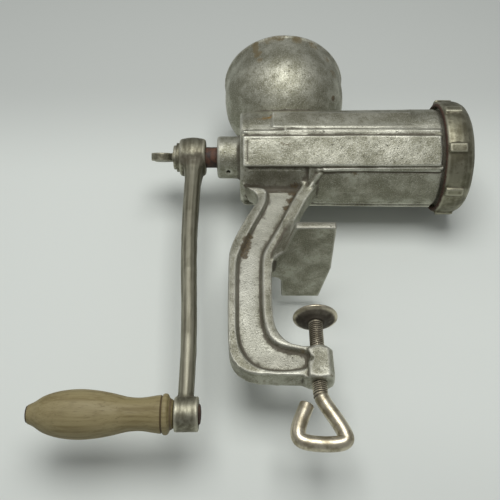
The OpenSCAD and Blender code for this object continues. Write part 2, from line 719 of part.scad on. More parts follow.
// Corners of the eye's centre line, as [x, z], from inside the shank to the free end
eye_corners = [[0, eye_top_z + 4], [0, eye_top_z - 1], [eye_w * 0.47, eye_top_z - eye_h * 0.74],
               [eye_w * 0.47, eye_top_z - eye_h * 0.98], [-eye_w * 0.43, eye_top_z - eye_h * 0.96],
               [-eye_w * 0.56, eye_top_z - eye_h * 0.74], [-7.4, eye_top_z - 4.6]];
eye_sides = 16;

// Cuts every corner of a line twice over, keeping its ends
function rounded(line, times) = times == 0 ? line : rounded(
    concat([line[0]], [for (i = [0:len(line) - 2]) each [mix(line[i], line[i + 1], 0.25), mix(line[i], line[i + 1], 0.75)]],
           [line[len(line) - 1]]), times - 1);

// A round rod bent along a line in the plane of the barrel axis
module bent_rod(line, r) {
    last = len(line) - 1;
    points = [for (i = [0:last]) let (d = line[min(i + 1, last)] - line[max(i - 1, 0)], u = d / norm(d))
        for (k = [0:eye_sides - 1]) let (a = 360 * k / eye_sides)
        [line[i][0] + r * cos(a) * u[1], r * sin(a), line[i][1] - r * cos(a) * u[0]]];
    sides = [for (i = [0:last - 1]) for (k = [0:eye_sides - 1])
        let (n = (k + 1) % eye_sides, a = i * eye_sides, b = a + eye_sides)
        each [[a + k, b + k, a + n], [a + n, b + k, b + n]]];
    first = [for (k = [0:eye_sides - 1]) k];
    far = [for (k = [eye_sides - 1:-1:0]) last * eye_sides + k];
    polyhedron(points, concat(sides, [first, far]), convexity = 6);
}

module clamp_screw() {
    color(zinc) {
        translate([0, 0, eye_top_z]) cylinder(h = pad_low_z - eye_top_z, r = screw_r);
        translate([0, 0, pad_low_z - past]) cylinder(h = pad_h + past - rivet_sink, r = pad_spigot_r);
        translate([0, 0, pad_top_z - rivet_sink - rivet_t]) cylinder(h = rivet_t, r = pad_rivet_r);
        bent_rod(rounded(eye_corners, 3), screw_r - 0.05);
    }
}

module clamp_pad() {
    color(zinc) translate([0, 0, pad_low_z]) difference() {
        rotate_extrude() polygon([[0, 0.1], [screw_r + 1.6, 0.1], [pad_r - 1.5, pad_h - pad_rim - 0.6], [pad_r, pad_h - pad_rim],
                                  [pad_r, pad_h - 0.3], [pad_r - 0.3, pad_h], [0, pad_h]]);
        translate([0, 0, -past]) cylinder(h = pad_h + 2 * past, r = pad_spigot_r + run_fit);
        translate([0, 0, pad_h - rivet_sink - rivet_t - face_gap]) cylinder(h = pad_h, r = pad_rivet_r + 0.3);
    }
}

grinder_body();
plate_key();
thrust_washer();
worm();
knife_stud();
knife();
hole_plate();
ring_nut();
crank_arm();
crank_washer();
crank_screw();
handle_pin();
handle_grip();
grip_washer();
clamp_screw();
clamp_pad();
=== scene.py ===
"""Hand crank meat grinder: the finished look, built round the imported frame.

Metres. +X runs along the barrel towards the mouth and +Z is up. The origin lies
under the table jaw, on the clamp screw's axis. Sizes written in millimetres are
turned into metres by mm().
"""

import math

import bmesh
import bpy
import numpy as np
from bpy.props import FloatProperty, FloatVectorProperty, IntProperty, PointerProperty
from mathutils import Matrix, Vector, noise


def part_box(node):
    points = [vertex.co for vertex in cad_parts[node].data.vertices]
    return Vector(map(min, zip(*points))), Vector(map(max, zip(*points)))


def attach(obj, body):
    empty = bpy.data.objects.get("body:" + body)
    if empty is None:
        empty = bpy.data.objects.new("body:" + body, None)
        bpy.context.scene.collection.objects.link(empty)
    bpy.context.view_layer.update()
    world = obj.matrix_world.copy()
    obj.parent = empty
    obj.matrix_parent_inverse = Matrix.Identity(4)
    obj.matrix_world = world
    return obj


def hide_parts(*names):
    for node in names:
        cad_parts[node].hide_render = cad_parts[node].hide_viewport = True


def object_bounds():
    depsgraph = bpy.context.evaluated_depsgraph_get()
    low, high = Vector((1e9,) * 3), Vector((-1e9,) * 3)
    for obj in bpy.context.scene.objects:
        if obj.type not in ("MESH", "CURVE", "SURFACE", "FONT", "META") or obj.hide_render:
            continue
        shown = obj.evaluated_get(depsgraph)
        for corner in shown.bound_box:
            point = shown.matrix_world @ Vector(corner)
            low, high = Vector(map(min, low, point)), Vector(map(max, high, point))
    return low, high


bl_info = {
    "name": "Hand crank meat grinder",
    "version": (1, 0, 0),
    "blender": (4, 5, 0),
    "location": "View3D > Sidebar > Grinder",
    "description": "Builds the casting, crank, grip, ring nut and table clamp of a hand crank meat grinder",
    "category": "Add Mesh",
}

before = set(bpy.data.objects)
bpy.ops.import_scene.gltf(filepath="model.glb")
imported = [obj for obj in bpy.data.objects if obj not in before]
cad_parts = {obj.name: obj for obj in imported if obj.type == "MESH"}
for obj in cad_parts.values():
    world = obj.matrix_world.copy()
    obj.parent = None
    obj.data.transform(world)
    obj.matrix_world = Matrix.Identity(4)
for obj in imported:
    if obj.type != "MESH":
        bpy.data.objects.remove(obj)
CAD_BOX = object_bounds()


def mm(value):
    """Millimetres in metres."""
    return value * 0.001


def in_mm(value):
    """Metres in millimetres."""
    return value * 1000


# ---------------------------------------------------------------- settings


def length_setting(name, description, default, low, high):
    """A length in metres that a user can set."""
    return FloatProperty(
        name=name, description=description, default=default, min=low, max=high, unit="LENGTH", precision=5
    )


def times_setting(name, description, default):
    """How many times a step is done."""
    return IntProperty(name=name, description=description, default=default, min=0, max=30)


def colour_setting(name, description, default):
    """A colour that a user can set."""
    return FloatVectorProperty(
        name=name, description=description, default=default, subtype="COLOR", min=0, max=1
    )


def power_setting(name, description, default):
    """The power of a lamp in watts."""
    return FloatProperty(name=name, description=description, default=default, min=0, unit="POWER")


class GrinderShapes(bpy.types.PropertyGroup):
    """Sizes of what the finished pieces add to the frame."""

    casting_grid: length_setting(
        "Casting grid", "Spacing of the mesh points on the grinder's casting", 0.0006, 0.0005, 0.003
    )
    small_grid: length_setting(
        "Small casting grid", "Spacing of the mesh points on the ring nut and the crank",
        0.0005, 0.0003, 0.002,
    )
    casting_rounding: times_setting("Casting rounding", "How many times the casting's edges are softened", 3)
    crank_rounding: times_setting("Crank rounding", "How many times the crank's edges are softened", 5)
    casting_faces: IntProperty(
        name="Casting faces", description="Most triangles left on the grinder's casting",
        default=190000, min=20000, max=200000,
    )
    unevenness: length_setting(
        "Unevenness", "Height of the soft waves left by the mould", 0.00018, 0.0, 0.001
    )
    thread_pitch: length_setting("Thread pitch", "Pitch of the clamp screw's thread", 0.00125, 0.0008, 0.002)
    thread_depth: length_setting("Thread depth", "Depth of the clamp screw's thread", 0.0006, 0.0002, 0.001)


class GrinderColours(bpy.types.PropertyGroup):
    """Colours of the finishes."""

    tin: colour_setting("Tin", "Tinned surface of the casting", (0.47, 0.465, 0.375))
    # Also the colour of the painted highlights on the casting
    bright_tin: colour_setting("Bright tin", "Rubbed tin on edges and grain", (0.76, 0.76, 0.67))
    worn_tin: colour_setting("Worn tin", "Darker places where the tin has worn", (0.235, 0.23, 0.165))
    # Also the colour of the painted shade on the casting, the leg's rims and the crank's hub
    grime_and_shade: colour_setting("Grime", "Dark dirt in the hollows", (0.075, 0.062, 0.040))
    stain: colour_setting("Stain", "Brown stains of dried fat", (0.125, 0.095, 0.040))
    rust: colour_setting("Rust", "Rust patches", (0.125, 0.090, 0.034))
    crank: colour_setting("Crank", "Tarnished tin of the crank", (0.285, 0.275, 0.205))
    shaft: colour_setting("Shaft", "Rusty iron of the worm's journal", (0.030, 0.017, 0.011))
    zinc: colour_setting("Zinc", "Yellowed zinc of the clamp screw", (0.60, 0.55, 0.42))
    steel: colour_setting("Steel", "Ground steel of knife and hole plate", (0.60, 0.60, 0.58))
    fibre: colour_setting("Fibre", "Pressed fibre of the thrust washer", (0.30, 0.16, 0.09))
    wood: colour_setting("Wood", "Pale bare wood of the grip", (0.255, 0.21, 0.095))
    wood_grain: colour_setting("Wood grain", "Darker lines of the wood's grain", (0.18, 0.14, 0.055))
    ground: colour_setting("Ground", "Surface that the grinder lies on", (0.74, 0.775, 0.73))


class GrinderStage(bpy.types.PropertyGroup):
    """Camera and lamps."""

    lens: FloatProperty(
        name="Lens", description="Focal length of the camera in millimetres",
        default=50.4, min=10, max=200, unit="CAMERA",
    )
    camera_place: FloatVectorProperty(
        name="Camera place", description="Where the camera stands",
        subtype="XYZ", unit="LENGTH", default=(-0.0369, -0.3325, -0.2582), precision=4,
    )
    camera_tilt: FloatProperty(
        name="Camera tilt", description="Turn of the camera about X",
        subtype="ANGLE", default=math.radians(129),
    )
    key_power: power_setting("Key power", "Power of the large lamp over the grinder", 4.6)
    fill_power: power_setting("Fill power", "Power of the small side lamp", 0.5)
    back_power: power_setting("Back power", "Power of the lamp behind the grinder", 0.8)
    sky: FloatProperty(
        name="Sky", description="Strength of the even light from all round", default=0.28, min=0
    )


def shapes():
    """The sizes that the panel shows."""
    return bpy.context.scene.grinder_shapes


def colours():
    """The colours that the panel shows."""
    return bpy.context.scene.grinder_colours


def stage_settings():
    """The camera and lamp settings that the panel shows."""
    return bpy.context.scene.grinder_stage


# ---------------------------------------------------------------- materials

# Tones that the finishes mix with the colours above
FAT_YELLOW = (0.36, 0.21, 0.035)
RING_DARK, RING_PALE = (0.13, 0.122, 0.080), (0.255, 0.245, 0.175)
RING_BLOTCH, RING_EDGE = (0.085, 0.070, 0.042), (0.50, 0.485, 0.37)
RING_RUST, RING_OLD_RUST = (0.085, 0.036, 0.018), (0.028, 0.017, 0.012)
CRANK_DARK, CRANK_BLOTCH, CRANK_EDGE = (0.16, 0.15, 0.105), (0.10, 0.085, 0.055), (0.58, 0.56, 0.44)
RED_RUST, BLACK_RUST = (0.075, 0.040, 0.024), (0.014, 0.010, 0.008)
WORM_RUST, WORM_SPECK = (0.13, 0.060, 0.034), (0.020, 0.013, 0.011)
WORM_GREY, WORM_DARK = (0.36, 0.36, 0.34), (0.16, 0.13, 0.10)
ZINC_CLOUD, ZINC_GRAIN, ZINC_DIRT_AND_SHADE = (0.33, 0.29, 0.20), (0.15, 0.12, 0.085), (0.035, 0.027, 0.018)
STEEL_CLOUD = (0.36, 0.34, 0.30)
FIBRE_FLECK = (0.13, 0.065, 0.04)
WOOD_BROAD, WOOD_PORE = (0.32, 0.27, 0.14), (0.115, 0.085, 0.035)
WOOD_GRIME, WOOD_GROOVE = (0.16, 0.125, 0.055), (0.075, 0.045, 0.020)
GROUND_FAR_SHADE = (0.30, 0.31, 0.30)


class Finish:
    """A material being built: short calls that add nodes and link them."""

    def __init__(self, name):
        self.material = bpy.data.materials.new(name)
        self.material.use_nodes = True
        self.tree = self.material.node_tree
        self.tree.nodes.clear()
        self.surface = self.node("BsdfPrincipled")
        self.output = self.node("OutputMaterial", Surface=self.surface.outputs[0])
        self.place = self.node("TexCoord").outputs["Object"]

    def node(self, kind, **sockets):
        """A new node, its inputs set by name, with _ for a space."""
        node = self.tree.nodes.new("ShaderNode" + kind)
        for name, value in sockets.items():
            self.put(node.inputs[name.replace("_", " ")], value)
        return node

    def put(self, socket, value):
        """Sets a socket to a number or a colour, or links it to an output."""
        if isinstance(value, bpy.types.NodeSocket):
            self.tree.links.new(value, socket)
        elif socket.type == "RGBA":
            socket.default_value = (*value, 1)
        else:
            socket.default_value = value

    def stretched(self, scale, turn=(0, 0, 0)):
        """The object's own coordinates, scaled along each axis."""
        return self.node("Mapping", Vector=self.place, Scale=scale, Rotation=turn).outputs[0]

    def along(self, axis):
        """The object's own coordinate along one axis."""
        return self.node("SeparateXYZ", Vector=self.place).outputs[axis]

    def noise(self, per_metre, detail, rough, at=None, twist=0.0):
        """Clouds from 0 to 1, about per_metre of them in a metre."""
        node = self.node(
            "TexNoise", Vector=at or self.place, Scale=per_metre,
            Detail=detail, Roughness=rough, Distortion=twist,
        )
        return node.outputs["Fac"]

    def painted(self, name):
        """A value stored at the mesh's points."""
        node = self.node("Attribute")
        node.attribute_name = name
        return node.outputs["Fac"]

    def spread(self, value, low, high, to_low=0.0, to_high=1.0):
        """Value taken from low..high to to_low..to_high, smoothly and held inside."""
        node = self.node("MapRange", Value=value, From_Min=low, From_Max=high, To_Min=to_low, To_Max=to_high)
        node.interpolation_type = "SMOOTHSTEP"
        return node.outputs[0]

    def combined(self, kind, a, b):
        """One step of arithmetic on two values."""
        node = self.node("Math")
        node.operation = kind
        self.put(node.inputs[0], a)
        self.put(node.inputs[1], b)
        return node.outputs[0]

    def scaled(self, value, share):
        """A share of a value."""
        return self.combined("MULTIPLY", value, share)

    def plus(self, a, b, share=None):
        """The sum of a and b, or of a and a share of b."""
        return self.combined("ADD", a, b if share is None else self.scaled(b, share))

    def larger(self, a, b):
        """The larger of two values."""
        return self.combined("MAXIMUM", a, b)

    def mix(self, share, a, b):
        """Colour a with share of b in it."""
        node = self.node("Mix")
        node.data_type = "RGBA"
        self.put(node.inputs["Factor"], share)
        for socket, colour in zip(node.inputs[6:8], (a, b)):
            self.put(socket, colour)
        return node.outputs[2]

    def layer(self, tone, colour, value, low, high, most=1.0):
        """Tone with a colour over it where value goes from low to high; most is the share it reaches."""
        return self.mix(self.spread(value, low, high, 0.0, most), tone, colour)

    def relief(self, *layers):
        """Surface relief from layers of (height, depth in metres, strength)."""
        below = {}
        for height, depth, strength in layers:
            bump = self.node("Bump", Strength=strength, Distance=depth, Height=height, **below)
            below = {"Normal": bump.outputs[0]}
        return below["Normal"]

    def finish(self, tone, metallic, roughness, relief):
        """Links what was made to the shader, and gives the material."""
        values = {"Base Color": tone, "Metallic": metallic, "Roughness": roughness, "Normal": relief}
        for name, value in values.items():
            self.put(self.surface.inputs[name], value)
        return self.material


def tinned_casting():
    """Hot tinned cast iron: grainy, blotched, grimy in the hollows, rust in patches, with painted shade and
    painted highlights.
    """
    look = colours()
    f = Finish("tinned_cast_iron")
    cloud = f.noise(70, 5, 0.6)
    blotch = f.noise(260, 4, 0.6, twist=0.4)
    grain = f.noise(1500, 2, 0.6)
    speck = f.noise(820, 3, 0.7)
    mottle = f.plus(speck, blotch)
    pits = f.spread(speck, 0.29, 0.38, 1, 0)
    worn_edge = f.scaled(f.spread(f.painted("edge"), 0.25, 1.0), 0.45)
    # Bright worn edges together with the painted highlights
    wear_and_highlight = f.larger(worn_edge, f.scaled(f.painted("rubbed"), 0.75))
    broken = f.spread(f.plus(f.painted("hollow"), blotch, 0.7), 0.50, 1.10)
    stained = f.spread(f.plus(f.painted("stain"), mottle, 0.8), 1.05, 1.50)
    rusted = f.spread(f.plus(f.painted("rust"), mottle, 0.8), 1.10, 1.40)
    yellow = f.combined("MULTIPLY", f.painted("warm"), f.spread(blotch, 0.35, 0.55))

    tone = f.layer(look.worn_tin, look.tin, cloud, 0.38, 0.64)
    tone = f.layer(tone, look.worn_tin, blotch, 0.50, 0.64, 0.65)
    tone = f.layer(tone, look.bright_tin, grain, 0.46, 0.74, 0.5)
    tone = f.mix(f.scaled(pits, 0.7), tone, look.grime_and_shade)
    tone = f.mix(wear_and_highlight, tone, look.bright_tin)
    tone = f.mix(f.scaled(broken, 0.85), tone, look.grime_and_shade)
    tone = f.mix(f.scaled(stained, 0.85), tone, look.stain)
    tone = f.mix(f.scaled(rusted, 0.9), tone, f.layer(look.rust, look.shaft, grain, 0.35, 0.65))
    # Painted shade where the casting stores it
    tone = f.mix(f.scaled(f.painted("shade"), 0.8), tone, look.grime_and_shade)
    tone = f.mix(yellow, tone, FAT_YELLOW)

    dull = f.larger(rusted, f.scaled(f.larger(broken, stained), 0.75))
    metal = f.spread(dull, 0.0, 1.0, 0.9, 0.1)
    rough = f.plus(f.spread(cloud, 0.3, 0.7, 0.56, 0.44), dull, 0.30)
    relief = f.relief((speck, 0.0004, 0.6), (grain, 0.0002, 0.6), (pits, -0.0003, 0.5))
    return f.finish(tone, metal, rough, relief)


def ring_iron():
    """The ring nut's tin: smoother, yellowed, brown along its rear edge."""
    f = Finish("ring_nut_iron")
    cloud = f.noise(90, 4, 0.6)
    blotch = f.noise(320, 4, 0.65, twist=0.5)
    grain = f.noise(1700, 2, 0.6)
    broken = f.spread(f.plus(f.painted("hollow"), blotch, 0.6), 0.55, 1.1)
    rusted = f.spread(f.plus(f.painted("rust"), blotch, 0.6), 0.62, 1.0)
    tone = f.layer(RING_DARK, RING_PALE, cloud, 0.40, 0.62)
    tone = f.layer(tone, RING_BLOTCH, blotch, 0.55, 0.72, 0.6)
    tone = f.mix(f.scaled(f.spread(f.painted("edge"), 0.10, 0.8), 0.6), tone, RING_EDGE)
    tone = f.mix(f.scaled(broken, 0.9), tone, colours().grime_and_shade)
    tone = f.mix(rusted, tone, f.layer(RING_RUST, RING_OLD_RUST, grain, 0.35, 0.65))
    dull = f.larger(rusted, f.scaled(broken, 0.7))
    metal = f.spread(dull, 0.0, 1.0, 0.92, 0.05)
    rough = f.plus(f.spread(cloud, 0.3, 0.7, 0.56, 0.44), dull, 0.30)
    return f.finish(tone, metal, rough, f.relief((blotch, 0.0004, 0.35), (grain, 0.00012, 0.4)))


def crank_iron():
    """Tarnished tin with streaks down the arm."""
    look = colours()
    f = Finish("crank_iron")
    streak = f.noise(1.0, 4, 0.6, at=f.stretched((420, 420, 38)))
    cloud = f.noise(110, 4, 0.6, twist=0.4)
    grain = f.noise(1600, 2, 0.6)
    # Dirt in the hollows, and on the hub's lower half painted shade stored with it
    broken = f.spread(f.plus(f.painted("hollow"), cloud, 0.6), 0.55, 1.1)
    tone = f.layer(CRANK_DARK, look.crank, streak, 0.38, 0.66)
    tone = f.layer(tone, CRANK_BLOTCH, cloud, 0.54, 0.74, 0.55)
    tone = f.mix(f.scaled(f.spread(f.painted("edge"), 0.10, 0.8), 0.65), tone, CRANK_EDGE)
    tone = f.mix(f.scaled(broken, 0.92), tone, look.grime_and_shade)
    metal = f.spread(broken, 0.0, 1.0, 0.92, 0.2)
    rough = f.plus(f.spread(streak, 0.3, 0.7, 0.60, 0.46), broken, 0.30)
    return f.finish(tone, metal, rough, f.relief((streak, 0.0003, 0.35), (grain, 0.00012, 0.4)))


def rusty_iron():
    """Dark rust all over, redder in patches."""
    f = Finish("rusty_iron")
    cloud = f.noise(240, 4, 0.65, twist=0.4)
    grain = f.noise(1800, 3, 0.6)
    tone = f.layer(colours().shaft, RED_RUST, cloud, 0.40, 0.64)
    tone = f.layer(tone, BLACK_RUST, grain, 0.55, 0.75, 0.5)
    rough = f.spread(cloud, 0.3, 0.7, 0.75, 0.90)
    return f.finish(tone, 0.0, rough, f.relief((grain, 0.00022, 0.7), (cloud, 0.0004, 0.4)))


def worm_iron():
    """The worm's working part: greyer cast iron, rusty towards its tail."""
    f = Finish("worm_iron")
    cloud = f.noise(120, 4, 0.65, twist=0.4)
    grain = f.noise(1500, 3, 0.6)
    in_barrel = f.spread(f.along("X"), mm(-45), mm(-34))
    rust = f.layer(colours().shaft, WORM_RUST, cloud, 0.40, 0.64)
    grey = f.layer(WORM_GREY, WORM_DARK, cloud, 0.42, 0.62)
    tone = f.layer(f.mix(in_barrel, rust, grey), WORM_SPECK, grain, 0.55, 0.75, 0.5)
    rough = f.spread(cloud, 0.3, 0.7, 0.55, 0.75)
    return f.finish(tone, f.scaled(in_barrel, 0.8), rough, f.relief((grain, 0.0002, 0.6)))


def zinc_steel():
    """Yellowed zinc plating, dark in the thread and where painted shade covers the pad's underside."""
    f = Finish("zinc_steel")
    cloud = f.noise(160, 4, 0.6, twist=0.3)
    grain = f.noise(2200, 2, 0.6)
    dark = f.spread(f.plus(f.painted("hollow"), cloud, 0.35), 0.35, 0.95)
    tone = f.layer(colours().zinc, ZINC_CLOUD, cloud, 0.40, 0.66)
    tone = f.layer(tone, ZINC_GRAIN, grain, 0.55, 0.78, 0.35)
    tone = f.mix(f.scaled(dark, 0.93), tone, ZINC_DIRT_AND_SHADE)
    metal = f.spread(dark, 0.0, 1.0, 0.95, 0.3)
    rough = f.plus(f.spread(cloud, 0.3, 0.7, 0.30, 0.42), dark, 0.4)
    return f.finish(tone, metal, rough, f.relief((grain, 0.00006, 0.5)))


def ground_steel():
    """Ground tool steel with fine scratches."""
    f = Finish("ground_steel")
    scratch = f.noise(1.0, 2, 0.6, at=f.stretched((150, 2600, 260), (0, 0.4, 0)))
    tone = f.layer(colours().steel, STEEL_CLOUD, f.noise(180, 4, 0.6), 0.42, 0.66)
    return f.finish(tone, 1.0, f.spread(scratch, 0.3, 0.7, 0.24, 0.42), f.relief((scratch, 0.00005, 0.5)))


def pressed_fibre():
    """Red-brown pressed fibre."""
    f = Finish("pressed_fibre")
    fleck = f.noise(1400, 4, 0.7)
    tone = f.layer(colours().fibre, FIBRE_FLECK, fleck, 0.35, 0.68)
    return f.finish(tone, 0.0, 0.75, f.relief((fleck, 0.0001, 0.6)))


def turned_wood():
    """Pale bare wood with fine grain along the grip and darker rings at its grooves."""
    look = colours()
    f = Finish("turned_wood")
    long_grain = f.noise(1.0, 5, 0.62, at=f.stretched((26, 520, 520)), twist=0.25)
    broad = f.noise(1.0, 3, 0.5, at=f.stretched((10, 120, 120)), twist=0.3)
    pores = f.noise(1.0, 2, 0.5, at=f.stretched((130, 2300, 2300)))
    tone = f.layer(look.wood, look.wood_grain, long_grain, 0.40, 0.66)
    tone = f.layer(tone, WOOD_BROAD, broad, 0.42, 0.64, 0.45)
    tone = f.layer(tone, WOOD_PORE, pores, 0.60, 0.72, 0.55)
    tone = f.layer(tone, WOOD_GRIME, f.noise(130, 4, 0.6), 0.56, 0.74, 0.35)
    tone = f.layer(tone, WOOD_GROOVE, f.painted("hollow"), 0.15, 0.9, 0.85)
    rough = f.spread(long_grain, 0.3, 0.7, 0.55, 0.68)
    return f.finish(tone, 0.0, rough, f.relief((long_grain, 0.0002, 0.35), (pores, -0.00012, 0.5)))


def pale_ground():
    """Matt pale surface with painted shade making it greyer far above and below the grinder, and clear from
    behind.
    """
    f = Finish("ground")
    # Painted shade greys the surface far above and below the grinder
    above = f.spread(f.along("Z"), mm(110), mm(235), 0.0, 0.36)
    below = f.spread(f.along("Z"), mm(-60), mm(-150), 0.0, 0.12)
    tone = f.mix(f.larger(above, below), colours().ground, GROUND_FAR_SHADE)
    for name, value in (("Base Color", tone), ("Roughness", 0.9), ("Specular IOR Level", 0.2)):
        f.put(f.surface.inputs[name], value)
    choose = f.node("MixShader")
    shaders = f.surface.outputs[0], f.node("BsdfTransparent").outputs[0]
    for socket, value in zip(choose.inputs, (f.node("NewGeometry").outputs["Backfacing"], *shaders)):
        f.put(socket, value)
    f.put(f.output.inputs["Surface"], choose.outputs[0])
    return f.material


# ---------------------------------------------------------------- meshes


def coordinates(mesh):
    """The mesh's points as an array."""
    places = np.empty(len(mesh.vertices) * 3, np.float32)
    mesh.vertices.foreach_get("co", places)
    return places.reshape(-1, 3).astype(float)


def put_coordinates(mesh, places):
    """Moves the mesh's points."""
    mesh.vertices.foreach_set("co", places.astype(np.float32).ravel())
    mesh.update()


def normals(mesh):
    """Which way the surface faces at each point."""
    out = np.empty(len(mesh.vertices) * 3, np.float32)
    mesh.vertex_normals.foreach_get("vector", out)
    return out.reshape(-1, 3).astype(float)


def moved_out(mesh, heights):
    """Moves each point along its normal by its own height in metres."""
    put_coordinates(mesh, coordinates(mesh) + normals(mesh) * heights[:, None])


def store(mesh, name, values):
    """Keeps a value for each point, for the materials to read."""
    layer = mesh.attributes.get(name) or mesh.attributes.new(name, "FLOAT", "POINT")
    layer.data.foreach_set("value", np.asarray(values, np.float32))


def stored(mesh, name):
    """The values kept for each point."""
    values = np.empty(len(mesh.vertices), np.float32)
    mesh.attributes[name].data.foreach_get("value", values)
    return values


class Neighbours:
    """Averages over the points next to each point of a mesh."""

    def __init__(self, mesh):
        pairs = np.empty(len(mesh.edges) * 2, np.int32)
        mesh.edges.foreach_get("vertices", pairs)
        pairs = pairs.reshape(-1, 2)
        self.count = len(mesh.vertices)
        self.ends = np.concatenate([pairs[:, 0], pairs[:, 1]])
        self.others = np.concatenate([pairs[:, 1], pairs[:, 0]])
        self.degree = np.maximum(np.bincount(self.ends, minlength=self.count), 1)

    def mean(self, values):
        """The mean over each point's neighbours, column by column."""
        return np.stack([
            np.bincount(self.ends, values[self.others, k], self.count) / self.degree
            for k in range(values.shape[1])
        ], axis=1)


def taken(work, name):
    """A mesh with what a bmesh holds."""
    mesh = bpy.data.meshes.new(name)
    work.to_mesh(mesh)
    work.free()
    return mesh


def closed_copy(node):
    """A copy of a frame node's mesh with its split edges joined up."""
    work = bmesh.new()
    work.from_mesh(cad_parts[node].data)
    bmesh.ops.remove_doubles(work, verts=work.verts, dist=2e-6)
    bmesh.ops.triangulate(work, faces=work.faces)
    return taken(work, "copy")


def joined(meshes, name):
    """One mesh from several."""
    work = bmesh.new()
    for mesh in meshes:
        work.from_mesh(mesh)
        bpy.data.meshes.remove(mesh)
    return taken(work, name)


def modified(mesh, kind, **settings):
    """What a modifier makes of a mesh, in its place."""
    work = bpy.data.objects.new("work", mesh)
    bpy.context.scene.collection.objects.link(work)
    modifier = work.modifiers.new(kind, kind)
    for name, value in settings.items():
        setattr(modifier, name, value)
    out = bpy.data.meshes.new_from_object(work.evaluated_get(bpy.context.evaluated_depsgraph_get()))
    bpy.data.objects.remove(work)
    bpy.data.meshes.remove(mesh)
    return out


def coarser(grid):
    return grid * 1


def evened(mesh, grid):
    """The mesh's outer surface as one even skin."""
    out = modified(mesh, "REMESH", mode="VOXEL", voxel_size=grid)
    if not out.polygons:
        raise RuntimeError("The skin of a casting came out empty")
    return out


def thinned(mesh, most_faces):
    """The same surface with no more than most_faces triangles."""
    faces = sum(len(p.vertices) - 2 for p in mesh.polygons)
    return mesh if faces <= most_faces else modified(mesh, "DECIMATE", ratio=most_faces / faces)


def softened(mesh, times):
    """Rounds edges and fills corners as a sand mould does."""
    around = Neighbours(mesh)
    places = coordinates(mesh)
    for _ in range(times):
        places = 0.5 * places + 0.5 * around.mean(places)
    put_coordinates(mesh, places)


def waved(mesh, height, per_metre, seed):
    """Soft waves over the surface."""
    shift = Vector((seed, seed * 0.7, -seed))
    swell = np.array([noise.noise(Vector(p) * per_metre + shift) for p in coordinates(mesh)])
    moved_out(mesh, swell * height)


def eased(value):
    """0 to 1 with soft ends, held inside."""
    value = np.clip(value, 0, 1)
    return value * value * (3 - 2 * value)


def nearest(places, line):
    """Distance from each point to a line of corners in millimetres."""
    best = np.full(len(places), np.inf)
    for a, b in zip(line, line[1:]):
        start, way = mm(np.array(a)), mm(np.array(b) - np.array(a))
        along = np.clip(((places - start) @ way) / (way @ way), 0, 1)
        best = np.minimum(best, np.linalg.norm(places - start - along[:, None] * way, axis=1))
    return best


def nudged(mesh, lines):
    """Raises or sinks the surface along lines, each (corners, half width, height) in millimetres."""
    for line, half_width, height in lines:
        share = np.clip(1 - (nearest(coordinates(mesh), line) / mm(half_width)) ** 2, 0, 1) ** 2
        moved_out(mesh, share * mm(height))


def cut_corners(line, times, closed=False):
    """Cuts every corner of a line, or of a closed loop, and keeps a line's ends."""
    for _ in range(times):
        sides = zip(line, line[1:] + (line[:1] if closed else []))
        cut = [tuple(p * (1 - s) + q * s for p, q in zip(a, b)) for a, b in sides for s in (0.25, 0.75)]
        line = cut if closed else [line[0], *cut, line[-1]]
    return line


def inside(flat, loop):
    """Which of the flat points lie inside a closed loop."""
    hit = np.zeros(len(flat), bool)
    for (ax, ay), (bx, by) in zip(loop, loop[1:] + loop[:1]):
        if ay == by:
            continue
        crosses = (flat[:, 1] > min(ay, by)) & (flat[:, 1] <= max(ay, by))
        hit ^= crosses & (flat[:, 0] < ax + (bx - ax) * (flat[:, 1] - ay) / (by - ay))
    return hit


def mark_lines(mesh, lines):
    """How strong soft-edged strokes are at each point; each is (corners, half width, strength)."""
    places = coordinates(mesh)
    worth = np.zeros(len(places))
    for line, half_width, strength in lines:
        worth = np.maximum(worth, strength * eased(1.3 - nearest(places, line) / mm(half_width)))
    return worth


def mark_spots(mesh, spots):
    """How strong soft-edged patches are at each point; each is (x, y, z, radius, strength)."""
    places = coordinates(mesh)
    worth = np.zeros(len(places))
    for *centre, radius, strength in spots:
        away = np.linalg.norm(places - mm(np.array(centre)), axis=1)
        worth = np.maximum(worth, strength * eased(1.25 - away / mm(radius)))
    return worth


def mark_relief(mesh, rounds, scale):
    """Stores how deep each point lies in a hollow or stands out on an edge, as shares of scale."""
    around = Neighbours(mesh)
    places = coordinates(mesh)
    smooth = places
    for _ in range(rounds):
        smooth = around.mean(smooth)
    depth = ((smooth - places) * normals(mesh)).sum(axis=1) / scale
    store(mesh, "hollow", np.clip(depth, 0, 1.5))
    store(mesh, "edge", np.clip(-depth, 0, 1.5))


def swept_faces(work, rings):
    """Faces between each ring of points and the next; a ring of one point is a tip."""
    for near, far in zip(rings, rings[1:]):
        sides = max(len(near), len(far))
        for k in range(sides):
            n = (k + 1) % sides
            corners = [near[k % len(near)], near[n % len(near)], far[n % len(far)], far[k % len(far)]]
            work.faces.new(list(dict.fromkeys(corners)))


def turned_mesh(name, outline, sides, along="X", height=0.0, closed=False):
    """A solid of revolution from (distance along the axis, radius); the X axis lies at a height."""
    work = bmesh.new()
    rings = []
    for step, radius in outline:
        turns = [math.tau * k / sides for k in range(sides if radius else 1)]
        rings.append([work.verts.new((step, radius * math.cos(t), radius * math.sin(t))) for t in turns])
    swept_faces(work, rings + rings[:1] if closed else rings)
    bmesh.ops.recalc_face_normals(work, faces=work.faces)
    for vertex in work.verts:
        x, y, z = vertex.co
        vertex.co = (x, y, z + height) if along == "X" else (y, z, x)
    return taken(work, name)


